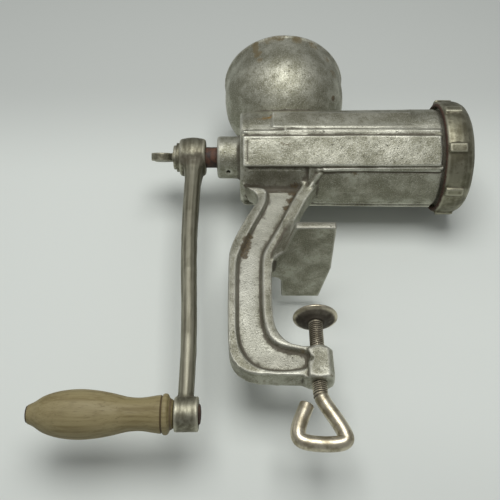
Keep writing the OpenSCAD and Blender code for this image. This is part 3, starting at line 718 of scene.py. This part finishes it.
def swept_mesh(name, line, radius_at, sides):
    """A rod along a line in the plane Y = 0; radius_at gives its radius for a ring's number and an angle."""
    work = bmesh.new()
    rings = []
    last = len(line) - 1
    for i, (x, z) in enumerate(line):
        ahead, behind = line[min(i + 1, last)], line[max(i - 1, 0)]
        way = Vector((ahead[0] - behind[0], ahead[1] - behind[1])).normalized()
        ring = []
        for k in range(sides):
            angle = math.tau * k / sides
            r = radius_at(i, angle)
            across = r * math.cos(angle)
            ring.append(work.verts.new((x + across * way.y, r * math.sin(angle), z - across * way.x)))
        rings.append(ring)
    swept_faces(work, rings)
    work.faces.new(rings[0])
    work.faces.new(rings[-1])
    bmesh.ops.recalc_face_normals(work, faces=work.faces)
    return taken(work, name)


def hull_mesh(corners):
    """The closed solid spanned by corners in millimetres."""
    work = bmesh.new()
    for corner in corners:
        work.verts.new([mm(v) for v in corner])
    bmesh.ops.convex_hull(work, input=work.verts)
    return taken(work, "hull")


def bead_meshes(line, sides=10, flatness=0.7):
    """Solids along a line of (x, y, z, radius) in millimetres, flattened across X."""
    turns = [math.tau * k / sides for k in range(sides)]
    rings = [
        [(x + r * math.cos(t), y + r * math.sin(t) * flatness, z + r * math.sin(t) * flatness) for t in turns]
        for x, y, z, r in line
    ]
    return [hull_mesh(near + far) for near, far in zip(rings, rings[1:])]


def piece(name, mesh, body, material, replaced):
    """Adds a finished mesh as a piece that moves with a body and stands for a frame node."""
    mesh.name = name
    mesh.materials.clear()
    mesh.materials.append(material)
    mesh.polygons.foreach_set("use_smooth", [True] * len(mesh.polygons))
    mesh.update()
    obj = bpy.data.objects.new(name, mesh)
    bpy.context.scene.collection.objects.link(obj)
    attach(obj, body)
    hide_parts(replaced)


def dress(node, material):
    """Gives a frame node that stays in view its finish."""
    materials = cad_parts[node].data.materials
    if not materials:
        materials.append(material)
    for k in range(len(materials)):
        materials[k] = material


# ---------------------------------------------------------------- the casting

# Corners of the web between the leg's rim and the near side of the jaw, in millimetres
GUSSET = [
    (-8.6, -5.5, 31), (-11, -5.5, 31), (-23.9, -5.6, -1.5), (-25.5, -5, 2), (-19.2, -9.5, 0.1),
    (-17, -12, 0.4), (-13.3, -14.5, 4.6), (-12.6, -12.5, 9.5), (-16.5, -9.0, 12), (-9, -2, 30), (-18, -2, 1),
]
# Corners of the boxy block round the clamp screw, in millimetres
BOSS_BLOCK = [
    (x, side * y, z)
    for x, y in ((-8.2, 5), (-5.5, 8.1), (5.2, 8.1), (7.9, 5.2)) for side in (1, -1) for z in (-62, -79.2)
]
# The leg's front rim where it runs up into the barrel's lower ridge, each (x, y, z, radius) in millimetres
RIM_TOP = [
    (-9.8, -4.0, 36, 2.3), (-5.6, -4.2, 44.5, 2.3), (-1.6, -4.4, 52, 2.3), (1.6, -4.8, 58.5, 2.2),
    (4.6, -8.0, 62.2, 2.1), (7.2, -11.8, 63.8, 2.0), (10.4, -14.6, 65.2, 1.6), (15, -15.4, 65.9, 1.2),
]
# Outline of the leg's sunk panel with the hollow above it, as (x, z) in millimetres
LEG_PANEL = [
    (-24.6, 56.3), (-28.4, 59.4), (-35.6, 60.3), (-40.8, 60.8), (-40.9, 80.3), (7.4, 82.2), (3.0, 74.6),
    (-2.1, 65.4), (-7.0, 57.2), (-10.6, 49.2), (-14.1, 41.0), (-18.1, 31.3), (-22.1, 22.2), (-26.5, 13.4),
    (-30.0, 5.6), (-31.2, -1.3), (-31.5, -14.6), (-31.5, -32.3), (-31.0, -43.8), (-28.9, -53.0),
    (-25.2, -58.7), (-19.0, -62.1), (-9.9, -64.0), (-5.1, -66.2), (-5.4, -70.5), (-8.7, -72.9),
    (-16.7, -74.0), (-26.3, -73.8), (-33.2, -71.7), (-38.5, -66.5), (-41.8, -58.7), (-43.0, -47.8),
    (-43.2, -28.9), (-43.4, -11.0), (-42.9, 1.0), (-39.9, 9.5), (-36.3, 19.0), (-31.3, 30.4), (-26.8, 40.6),
    (-24.4, 48.3),
]
PANEL_LOOP = cut_corners(LEG_PANEL, 2, closed=True)
# Rust and stains on the casting, each (x, y, z, radius, strength) in millimetres
CASTING_RUST = [
    (-38.7, -5, 14, 4.2, 0.95), (-36.5, -5, 18, 3.0, 0.9), (-39.6, -5, 9, 4.5, 0.95),
    (-40, -4, 4, 3.5, 0.85), (-9.5, -4, 56, 4.5, 0.8), (-11.5, -4, 49, 3.5, 0.9), (-14, -4, 42.5, 3.2, 0.9),
    (-8, -5, 61, 4, 0.75), (21.2, -18.7, 132.5, 2.8, 0.95), (22.5, -17.5, 130.5, 2, 0.9),
]
CASTING_STAIN = [
    (-33, -37.5, 168, 4, 0.75), (-32.7, -37.7, 163, 4.5, 0.8), (-31.3, -38.4, 156, 4.5, 0.8),
    (-30, -38, 149, 3.5, 0.75), (-24, -40.5, 168, 6, 0.55), (-17, -42.7, 170, 8, 0.6),
    (-3.8, -42.2, 168, 6, 0.7), (8, -38.5, 166, 6, 0.55), (18, -31, 160, 6, 0.5), (22, -26, 150, 6, 0.5),
    (-17, -28.9, 105.3, 5, 0.55), (-6, -28.9, 105.3, 5, 0.55), (-23, -27.7, 77.3, 3, 0.5),
    (-16, -27.4, 76.7, 3, 0.55), (-10.7, -26.7, 75.6, 3, 0.55), (30.7, -13.3, 63.8, 2.2, 0.8),
    (24.5, -10, 62.5, 2, 0.8), (-26, -6, -24, 1.6, 1.0), (-25.5, -6, -19, 1.2, 0.8), (-8.9, -6, -64, 3, 0.7),
    (-33.5, -6, -73, 2.5, 0.5), (6.8, -8, -80, 3, 0.7), (-41, -8, 60, 4, 0.5), (-24.5, -3.5, 26, 1.3, 0.9),
]
# Painted shade, yellowed fat and painted highlights on the casting, each (corners, half width, strength) in
# millimetres
CASTING_SHADE = [
    ([(-30, -3.5, -71), (-10, -3.5, -69)], 7, 0.34), ([(-3, -8, -62), (-3, -8, -78)], 8, 0.22),
    ([(-14, -30.4, 83.9), (71, -30.4, 83.9)], 0.8, 0.55), ([(-36, -17, 66), (-5, -16, 66)], 2.0, 0.5),
    ([(15, -14.2, 63.2), (86, -14.2, 63.4)], 1.2, 0.4), ([(-12, -33.5, 2.4), (12, -33.5, 2.4)], 3.4, 0.5),
    ([(-20, 0, 0), (9, 0, 0)], 42, 0.24), ([(-10, -31, 101), (68, -31, 101)], 8, 0.24),
    ([(20, 0, 60.5), (86, 0, 60.5)], 11, 0.36), ([(-36, -2, 58.5), (-6, -2, 58.5)], 3.0, 0.6),
    ([(-34, -8, 63), (-5, -8, 63)], 5, 0.35), ([(-35, -17, 66), (-4, -17, 66), (8, -15.5, 67)], 1.6, 0.55),
    ([(-36, -28.2, 78.3), (86, -28.2, 78.3)], 0.7, 0.8), ([(-30, -10, 62.5), (-8, -9, 62)], 6.5, 0.55),
    ([(-38.6, -28, 78), (-38.6, -20, 68), (-38.6, -8, 62)], 0.9, 0.6),
    ([(-23, -33.5, 4), (11, -33.5, 4)], 0.5, 0.7), ([(8, -15, 63.8), (86, -14.5, 64)], 0.8, 0.5),
    ([(22, 1.3, 60.9), (85, 2.3, 61)], 0.5, 0.6), ([(-2.5, -8, -84), (-2.5, 8, -84)], 0.6, 0.5),
]
CASTING_WARM = [
    ([(-30.5, -31.2, 97), (-26, -31.2, 97.6), (-21.5, -31.2, 98.6)], 1.5, 0.9),
]
# Painted highlights where the light falls brightest on the leg's panel, the rail and the plaque's edge
CASTING_HIGHLIGHT = [
    ([(-38, -3.5, 0), (-39.5, -3.5, -12), (-40, -3.5, -30)], 8, 0.8),
    ([(-24, -3.5, 46), (-30, -3.5, 28)], 7, 0.45), ([(-39, -3.5, -45), (-36, -3.5, -66)], 7, 0.35),
    ([(-23.5, -3.5, 55.9), (-11.5, -3.5, 55.9)], 0.8, 1.0), ([(-36, -30, 86), (86, -30, 86)], 4, 0.35),
    ([(-36, -31.4, 89.8), (86, -31.4, 89.8)], 0.8, 0.7),
]
# Beads and grooves left by the mould, each (corners, half width, height) in millimetres
CASTING_LINES = [
    ([(-14, -30.8, 85.6), (71, -30.8, 85.6)], 1.6, 0.55), ([(-14, -30.8, 85.6), (-14, -31.6, 97)], 1.2, 0.4),
    ([(10.7, -15.4, 64.9), (27, -15.9, 65.2), (86, -16.5, 65.6)], 1.9, 1.6),
    ([(-25.5, -6, 54), (-29, -6, 58), (-35.6, -6, 59.5)], 2.0, 0.7),
    ([(-36, -28.6, 78.9), (86, -28.6, 78.9)], 1.1, -0.9),
    ([(-38.6, -28, 78), (-38.6, -20, 68), (-38.6, -8, 62)], 1.0, -0.7),
    ([(8, -14.6, 63.2), (86, -14.2, 63.4)], 1.2, -0.6), ([(22, 1.3, 60.9), (85, 2.3, 61)], 0.8, 0.35),
    ([(-8.6, -7, -64.5), (-5.2, -8, -68.5)], 2.6, -1.8), ([(-1, -8, -83), (7, -8, -82.5)], 2.2, -0.7),
]
# The leg's side, in millimetres: how far its points lie from the middle, its front, its top and its foot
LEG_NEAR, LEG_FAR, LEG_FRONT, LEG_TOP, LEG_FOOT = 1.0, 15.5, -0.5, 67.5, -82
# Height where the panel's floor ends, and how far the floor and the hollow lie from the leg's middle
PANEL_END, PANEL_FLOOR, HOLLOW_FLOOR = 55.9, 3.4, 1.7
# Half the width over the rims, how far from the panel's edge they are highest, and how fast they fall beyond
RIM_OUT, RIM_PLACE, RIM_FALL = 6.25, 3.4, 0.045
# Height of the barrel's axis, how far its flank's recess lies from it, and the sine and cosine of its lean
AXIS_HEIGHT, RECESS_OUT, LEAN_SIN, LEAN_COS = 92.5, 30.0, 0.9205, 0.3907
# Half the leg's width where nothing joins it, and the height up to which its rims are free of the barrel
LEG_HALF, FREE_TOP = 7.4, 63.2
# Where the web to the jaw joins the leg: its front, its top, its foot and how far out it starts
WEB_FRONT, WEB_TOP, WEB_FOOT, WEB_OUT = -17, 31, -6, 4
# How strongly painted shade darkens the rims and the panel's edge, and how strongly a painted highlight
# brightens the panel
RIM_SHADE, PANEL_EDGE_SHADE, PANEL_HIGHLIGHT = 0.22, 0.34, 0.5


def from_panel(places):
    """How far points, in millimetres, lie outside the leg's panel, seen from the side; less than 0 within."""
    flat = places * (mm(1), 0.0, mm(1))
    away = in_mm(nearest(flat, [(x, 0.0, z) for x, z in PANEL_LOOP + PANEL_LOOP[:1]]))
    away[inside(places[:, [0, 2]], PANEL_LOOP)] *= -1
    return away


def formed_leg(mesh):
    """Gives both sides of the leg their flat sunk panel, the round rims and the hollow under the barrel."""
    places = in_mm(coordinates(mesh))
    x, y, z = places.T
    out = np.abs(y)
    on_leg = (out > LEG_NEAR) & (out < LEG_FAR) & (x < LEG_FRONT) & (z < LEG_TOP) & (z > LEG_FOOT)
    chosen = np.nonzero(on_leg)[0]
    x, y, z, out = x[chosen], y[chosen], z[chosen], out[chosen]
    away = from_panel(places[chosen])
    slope = (RECESS_OUT - LEAN_SIN * (AXIS_HEIGHT - z)) / LEAN_COS
    hollow = np.maximum(HOLLOW_FLOOR, slope)
    floor = PANEL_FLOOR + (hollow - PANEL_FLOOR) * eased((z - PANEL_END) / 1.6)
    rim = RIM_OUT - RIM_FALL * np.clip(away - RIM_PLACE, 0, 9) ** 2
    wanted = floor + (rim - floor) * eased((away - 0.1) / 2.2)

    # Panel and rims take this form in full, and the surface beyond them where it faces sideways
    facing = np.abs(normals(mesh)[chosen, 1])
    share = np.where(away < 4.0, 1.0, eased((facing - 0.25) / 0.35) * eased((8.0 - away) / 2.0))
    # What is wider than the leg, the web and the leg's front keep their own form
    share *= np.where(out < LEG_HALF, eased((FREE_TOP - z) / 2.0), 0.0)
    in_web = (x > WEB_FRONT) & (z < WEB_TOP) & (z > WEB_FOOT) & (out > WEB_OUT)
    share = np.where((away > 1.5) & in_web, 0.0, share)
    share = np.where((away < 0) & (z > 50), eased((67.0 - z) / 1.5), share)
    share *= eased((-1.2 - x) / 3.5)
    places[chosen, 1] += share * (np.sign(y) * wanted - y)
    put_coordinates(mesh, mm(places))


def mark_panel(mesh):
    """How much painted shade darkens the leg's rims and the panel's edge, and how much a painted highlight
    brightens its panel.
    """
    places = in_mm(coordinates(mesh))
    x, y, z = places.T
    chosen = np.nonzero((np.abs(y) < 8) & (x < -7) & (z < 60) & (z > -84))[0]
    away = from_panel(places[chosen])
    dull, bright = np.zeros(len(places)), np.zeros(len(places))
    dull[chosen] = RIM_SHADE * eased(away / 1.2) + PANEL_EDGE_SHADE * np.exp(-(((away - 1.0) / 1.2) ** 2))
    bright[chosen] = PANEL_HIGHLIGHT * eased((-0.8 - away) / 1.5) * eased((PANEL_END + 0.1 - z[chosen]) / 2)
    return dull, bright


class GRINDER_OT_casting(bpy.types.Operator):
    """Casts the barrel, hopper, leg and jaw as one tinned piece with soft corners"""

    bl_idname = "grinder.casting"
    bl_label = "Casting"

    def execute(self, context):
        size = shapes()
        added = [hull_mesh(GUSSET), hull_mesh(BOSS_BLOCK)]
        for side in (1, -1):
            added += bead_meshes([(x, side * y, z, r) for x, y, z, r in RIM_TOP])
        whole = joined([closed_copy("grinder_body"), *added], "casting")
        mesh = evened(whole, coarser(size.casting_grid))
        softened(mesh, size.casting_rounding)
        formed_leg(mesh)
        softened(mesh, 1)
        nudged(mesh, CASTING_LINES)
        softened(mesh, 1)
        waved(mesh, size.unevenness, 90, 3.0)
        mark_relief(mesh, 10, mm(0.3))
        store(mesh, "rust", mark_spots(mesh, CASTING_RUST))
        store(mesh, "stain", mark_spots(mesh, CASTING_STAIN))
        # dull is the painted shade on the rims and the panel's edge, bright the painted highlight on the
        # panel
        dull, bright = mark_panel(mesh)
        store(mesh, "shade", np.maximum(mark_lines(mesh, CASTING_SHADE), dull))
        store(mesh, "rubbed", np.maximum(mark_lines(mesh, CASTING_HIGHLIGHT), bright))
        store(mesh, "warm", mark_lines(mesh, CASTING_WARM))
        mesh = thinned(mesh, size.casting_faces)
        piece("casting", mesh, "casting", tinned_casting(), "grinder_body")
        return {"FINISHED"}


# ---------------------------------------------------------------- the other pieces

# How far the rust reaches from the ring nut's rear edge, in millimetres
RING_RUST_WIDTH = 2.2
# Painted shade round the lower half of the crank's hub, each (corners, half width, strength) in millimetres
HUB_SHADE = [([(-86, -9, 81), (-67, -9, 81)], 6.5, 0.62)]


class GRINDER_OT_ring_nut(bpy.types.Operator):
    """Makes the lugged ring nut on the mouth"""

    bl_idname = "grinder.ring_nut"
    bl_label = "Ring nut"

    def execute(self, context):
        size = shapes()
        mesh = evened(closed_copy("ring_nut"), coarser(size.small_grid))
        softened(mesh, 8)
        waved(mesh, size.unevenness * 0.7, 110, 5.0)
        mark_relief(mesh, 8, mm(0.2))
        rust_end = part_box("ring_nut")[0].x + mm(RING_RUST_WIDTH)
        store(mesh, "rust", np.clip((rust_end - coordinates(mesh)[:, 0]) / mm(RING_RUST_WIDTH), 0, 1))
        piece("mouth_ring", mesh, "ring", ring_iron(), "ring_nut")
        return {"FINISHED"}


class GRINDER_OT_crank(bpy.types.Operator):
    """Makes the cast crank arm with its hub and the boss for the handle's pin"""

    bl_idname = "grinder.crank"
    bl_label = "Crank arm"

    def execute(self, context):
        size = shapes()
        mesh = evened(closed_copy("crank_arm"), coarser(size.small_grid))
        softened(mesh, size.crank_rounding)
        waved(mesh, size.unevenness * 0.8, 100, 8.0)
        mark_relief(mesh, 8, mm(0.2))
        # Painted shade on the hub's lower half, stored together with the dirt in the hollows
        store(mesh, "hollow", np.maximum(stored(mesh, "hollow"), mark_lines(mesh, HUB_SHADE)))
        piece("crank_lever", mesh, "crank", crank_iron(), "crank_arm")
        return {"FINISHED"}


class GRINDER_OT_wing_screw(bpy.types.Operator):
    """Makes the wing screw that holds the crank, and finishes its washer"""

    bl_idname = "grinder.wing_screw"
    bl_label = "Wing screw"

    def execute(self, context):
        mesh = evened(closed_copy("crank_screw"), mm(0.4))
        softened(mesh, 6)
        mark_relief(mesh, 10, mm(0.3))
        material = crank_iron()
        piece("wing_bolt", mesh, "wing_screw", material, "crank_screw")
        dress("crank_washer", material)
        return {"FINISHED"}


# Radius of the grip's bore, and its outline as (distance from the arm, radius), in millimetres
GRIP_BORE = 3.16
GRIP_OUTLINE = [
    (0, 6.9), (0.6, 7.5), (2, 8.4), (2.8, 10.0), (4, 10.5), (5.2, 10.2), (5.8, 9.2), (6.4, 9.7), (10, 9.3),
    (15, 8.55), (19, 8.4), (24, 8.9), (31, 10.55), (39, 12.0), (47, 12.7), (54, 12.4), (61, 11.2), (67, 9.1),
    (71.5, 6.3), (74.6, 4.86),
]
# The grip's dirty grooves, each (distance from the arm, half width, depth of the dirt)
GRIP_GROOVES = [(5.8, 0.55, 1.0), (1.2, 0.9, 0.8)]
# Both ends of the grip's pin, as (distance from the end, radius) in millimetres
PIN_OUTER_END = [(0, 0), (0.15, 1.8), (0.5, 3.0), (0.9, 3.6), (1.5, 3.6), (1.6, 3.1)]
PIN_ARM_END = [(0, 0), (0.1, 3.2), (0.4, 4.8), (0.9, 5.3), (1.3, 5.3), (1.3, 3.1)]


def flowing(points, steps):
    """A smooth line through points, its slope at each one taken from the points beside it."""
    out = []
    for i in range(len(points) - 1):
        a = points[max(i - 1, 0)]
        b, c = points[i], points[i + 1]
        d = points[min(i + 2, len(points) - 1)]
        rise_b = (c[1] - a[1]) / max(c[0] - a[0], 1e-9)
        rise_c = (d[1] - b[1]) / max(d[0] - b[0], 1e-9)
        gap = c[0] - b[0]
        for k in range(steps):
            t = k / steps
            value = (
                (2 * t**3 - 3 * t**2 + 1) * b[1] + (t**3 - 2 * t**2 + t) * gap * rise_b
                + (3 * t**2 - 2 * t**3) * c[1] + (t**3 - t**2) * gap * rise_c
            )
            out.append((b[0] + gap * t, value))
    out.append(points[-1])
    return out


class GRINDER_OT_grip(bpy.types.Operator):
    """Turns the wooden grip with its bead, and makes its riveted pin"""

    bl_idname = "grinder.grip"
    bl_label = "Grip"

    def execute(self, context):
        low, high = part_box("handle_grip")
        axis_z = (low.z + high.z) / 2
        outline = [(0, GRIP_BORE), *flowing(GRIP_OUTLINE, 6), (GRIP_OUTLINE[-1][0], GRIP_BORE)]
        line = [(high.x - mm(a), mm(r)) for a, r in outline]
        mesh = turned_mesh("wooden_grip", line, 96, height=axis_z, closed=True)
        away = in_mm(high.x - coordinates(mesh)[:, 0])
        grooves = [depth * np.exp(-(((away - place) / half) ** 2)) for place, half, depth in GRIP_GROOVES]
        store(mesh, "hollow", sum(grooves))
        piece("wooden_grip", mesh, "grip", turned_wood(), "handle_grip")

        low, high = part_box("handle_pin")
        line = [(low.x + mm(a), mm(r)) for a, r in PIN_OUTER_END]
        line += [(high.x - mm(a), mm(r)) for a, r in reversed(PIN_ARM_END)]
        rust = rusty_iron()
        pin = turned_mesh("grip_rivet", line, 48, height=axis_z)
        piece("grip_rivet", pin, "crank", rust, "handle_pin")
        dress("grip_washer", rust)
        return {"FINISHED"}


# The clamp screw in millimetres, its lengths counted down from the pad's face
THREAD_TOP, THREAD_END, STRAIGHT_END = 4.6, 51.5, 46.0
THREAD_RADIUS, ROD_RADIUS = 4, 3.95
# Radius of the rod's last three rings, as shares of its own
ROD_TIP = (0.97, 0.9, 0.72)
# Outline of the rod's riveted head, as (drop, radius)
HEAD_OUTLINE = [(4.7, 0), (4.7, 2.8), (1.5, 2.8), (1.5, 4.4), (1.0, 4.4), (0.7, 4.0), (0.5, 2.6), (0.5, 0)]
# Corners of the eye, as (x, drop), from the shank to the free end
EYE_CORNERS = [(0, 51), (11.5, 70), (11.5, 76.5), (-10.5, 75.9), (-13.7, 70), (-7.4, 54.6)]


def held(value):
    """A number held between 0 and 1."""
    return min(1.0, max(0.0, value))


class GRINDER_OT_clamp_screw(bpy.types.Operator):
    """Makes the clamp screw with its real thread, bent eye and riveted head"""

    bl_idname = "grinder.clamp_screw"
    bl_label = "Clamp screw"

    def execute(self, context):
        pitch, depth = shapes().thread_pitch, shapes().thread_depth
        face_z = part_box("clamp_pad")[1].z
        step = in_mm(pitch) / 8
        straight = [(0.0, THREAD_TOP + k * step) for k in range(int((STRAIGHT_END - THREAD_TOP) / step) + 1)]
        line = straight + cut_corners([(0.0, STRAIGHT_END), *EYE_CORNERS], 4)[1:]

        def rod(i, angle):
            drop = line[i][1]
            if i >= len(line) - len(ROD_TIP):
                return mm(ROD_RADIUS) * ROD_TIP[i - len(line)]
            ends = held((drop - THREAD_TOP) / 1.2) * held((THREAD_END - drop) / 2.5)
            if ends == 0:
                return mm(ROD_RADIUS)
            turn = (angle / math.tau - mm(drop) / pitch) % 1.0
            return mm(THREAD_RADIUS) - depth * ends * held((abs(turn - 0.5) * 2 - 0.12) / 0.76)

        mesh = swept_mesh("clamp_rod", [(mm(x), face_z - mm(drop)) for x, drop in line], rod, 40)
        x, y, z = coordinates(mesh).T
        drop = in_mm(face_z - z)
        in_thread = np.clip((mm(THREAD_RADIUS) - np.hypot(x, y)) / depth, 0, 1)
        in_thread *= (drop < THREAD_END) & (drop > THREAD_TOP + 0.3)
        grimy = np.where(drop < 26, np.clip((30 - drop) / 26, 0, 1) * 0.35, 0)
        store(mesh, "hollow", in_thread * 0.9 + grimy)
        head = turned_mesh("head", [(face_z - mm(drop), mm(r)) for drop, r in HEAD_OUTLINE], 48, "Z")
        whole = joined([mesh, head], "clamp_rod")
        piece("clamp_rod", whole, "screw", zinc_steel(), "clamp_screw")
        return {"FINISHED"}


# The pad's height, its bore's radius and its outline as (height above its foot, radius), in millimetres
PAD_HEIGHT, PAD_BORE = 4.6, 2.86
PAD_OUTLINE = [
    (0.1, PAD_BORE), (0.1, 5.2), (0.5, 5.6), (0.95, 6.1), (1.5, 8.2), (2.1, 10.4), (2.6, 11.3), (3.0, 12.1),
    (3.3, 12.6), (3.7, 12.7), (4.2, 12.68), (4.5, 12.4), (4.6, 12.0), (4.55, 10.5), (4.5, 4.9), (4.35, 4.7),
    (3.0, 4.7), (3.0, PAD_BORE),
]


class GRINDER_OT_clamp_pad(bpy.types.Operator):
    """Turns the round pad on the end of the clamp screw"""

    bl_idname = "grinder.clamp_pad"
    bl_label = "Clamp pad"

    def execute(self, context):
        face_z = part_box("clamp_pad")[1].z
        line = [(face_z - mm(PAD_HEIGHT - a), mm(r)) for a, r in PAD_OUTLINE]
        mesh = turned_mesh("clamp_foot", line, 96, "Z", closed=True)
        x, y, z = coordinates(mesh).T
        out = in_mm(np.hypot(x, y))
        # Painted shade over the pad's underside, leaving its rim bright
        underside_shade = (0.68 + 0.3 * np.clip((7.0 - out) / 1.8, 0, 1)) * np.clip((12.2 - out) / 1.5, 0, 1)
        store(mesh, "hollow", underside_shade * (z < face_z - mm(0.5)))
        piece("clamp_foot", mesh, "pad", zinc_steel(), "clamp_pad")
        return {"FINISHED"}


class GRINDER_OT_inner_pieces(bpy.types.Operator):
    """Finishes the worm, knife, hole plate, stud, key and thrust washer"""

    bl_idname = "grinder.inner_pieces"
    bl_label = "Inner pieces"

    def execute(self, context):
        steel = ground_steel()
        for node in ("knife", "hole_plate", "knife_stud", "plate_key"):
            dress(node, steel)
        dress("worm", worm_iron())
        dress("thrust_washer", pressed_fibre())
        return {"FINISHED"}


# ---------------------------------------------------------------- stage

# The surface's half width, and how far it lies behind the grinder, in metres
GROUND_REACH, GROUND_GAP = 2.0, mm(0.8)
SKY_COLOUR = (0.97, 0.985, 1.0, 1)
# The point that the lamps look at, and each lamp's (name, place, width, height), in metres
LAMP_TARGET = Vector((0.0, 0.0, 0.03))
LAMPS = [
    ("key", (-0.02, -0.80, 0.02), 0.55, 0.45),
    ("fill", (-0.9, -0.5, 0.5), 0.4, 0.4),
    ("back", (0.3, 0.9, 0.6), 0.9, 0.9),
]


def area_lamp(name, place, width, height, power):
    """A soft lamp that looks at the grinder."""
    lamp = bpy.data.lights.new(name, "AREA")
    lamp.shape = "RECTANGLE"
    lamp.size, lamp.size_y, lamp.energy = width, height, power
    obj = bpy.data.objects.new(name, lamp)
    obj.location = place
    obj.rotation_euler = (LAMP_TARGET - Vector(place)).to_track_quat("-Z", "Y").to_euler()
    bpy.context.scene.collection.objects.link(obj)


def ground_surface():
    """The flat surface behind the grinder."""
    level = CAD_BOX[1][1] + GROUND_GAP
    corners = [(x * GROUND_REACH, level, z * GROUND_REACH) for x, z in ((-1, -1), (1, -1), (1, 1), (-1, 1))]
    mesh = bpy.data.meshes.new("ground")
    mesh.from_pydata(corners, [], [(0, 1, 2, 3)])
    mesh.materials.append(pale_ground())
    surface = bpy.data.objects.new("ground", mesh)
    bpy.context.scene.collection.objects.link(surface)


class GRINDER_OT_stage(bpy.types.Operator):
    """Sets the camera, the lamps and the pale surface that the grinder lies on"""

    bl_idname = "grinder.stage"
    bl_label = "Stage"

    def execute(self, context):
        setting = stage_settings()
        scene = context.scene
        scene.view_settings.view_transform = "Standard"

        lens = bpy.data.cameras.new("camera")
        lens.lens, lens.sensor_width = setting.lens, 36
        camera = bpy.data.objects.new("camera", lens)
        camera.location = setting.camera_place
        camera.rotation_euler = (setting.camera_tilt, 0, 0)
        scene.collection.objects.link(camera)
        scene.camera = camera

        ground_surface()
        for name, place, width, height in LAMPS:
            area_lamp(name + "_lamp", place, width, height, getattr(setting, name + "_power"))

        world = bpy.data.worlds.new("studio")
        scene.world = world
        world.use_nodes = True
        back = world.node_tree.nodes["Background"]
        back.inputs["Color"].default_value = SKY_COLOUR
        back.inputs["Strength"].default_value = setting.sky
        return {"FINISHED"}


class GRINDER_PT_build(bpy.types.Panel):
    """The grinder's pieces and settings"""

    bl_idname = "GRINDER_PT_build"
    bl_label = "Meat grinder"
    bl_space_type = "VIEW_3D"
    bl_region_type = "UI"
    bl_category = "Grinder"

    def draw(self, context):
        layout = self.layout
        for operator in OPERATORS:
            layout.operator(operator.bl_idname)
        for group in (shapes(), colours(), stage_settings()):
            box = layout.box()
            for name in group.__annotations__:
                box.prop(group, name)


OPERATORS = (
    GRINDER_OT_casting, GRINDER_OT_ring_nut, GRINDER_OT_crank, GRINDER_OT_wing_screw, GRINDER_OT_grip,
    GRINDER_OT_clamp_screw, GRINDER_OT_clamp_pad, GRINDER_OT_inner_pieces, GRINDER_OT_stage,
)
CLASSES = (GrinderShapes, GrinderColours, GrinderStage, *OPERATORS, GRINDER_PT_build)


def register():
    """Adds the classes and the scene's settings."""
    for kind in CLASSES:
        bpy.utils.register_class(kind)
    bpy.types.Scene.grinder_shapes = PointerProperty(type=GrinderShapes)
    bpy.types.Scene.grinder_colours = PointerProperty(type=GrinderColours)
    bpy.types.Scene.grinder_stage = PointerProperty(type=GrinderStage)


def unregister():
    """Takes away what register added."""
    del bpy.types.Scene.grinder_stage
    del bpy.types.Scene.grinder_colours
    del bpy.types.Scene.grinder_shapes
    for kind in reversed(CLASSES):
        bpy.utils.unregister_class(kind)


def main():
    """Builds the grinder and its stage."""
    register()
    bpy.ops.grinder.casting()
    bpy.ops.grinder.ring_nut()
    bpy.ops.grinder.crank()
    bpy.ops.grinder.wing_screw()
    bpy.ops.grinder.grip()
    bpy.ops.grinder.clamp_screw()
    bpy.ops.grinder.clamp_pad()
    bpy.ops.grinder.inner_pieces()
    bpy.ops.grinder.stage()


if __name__ == "__main__":
    main()
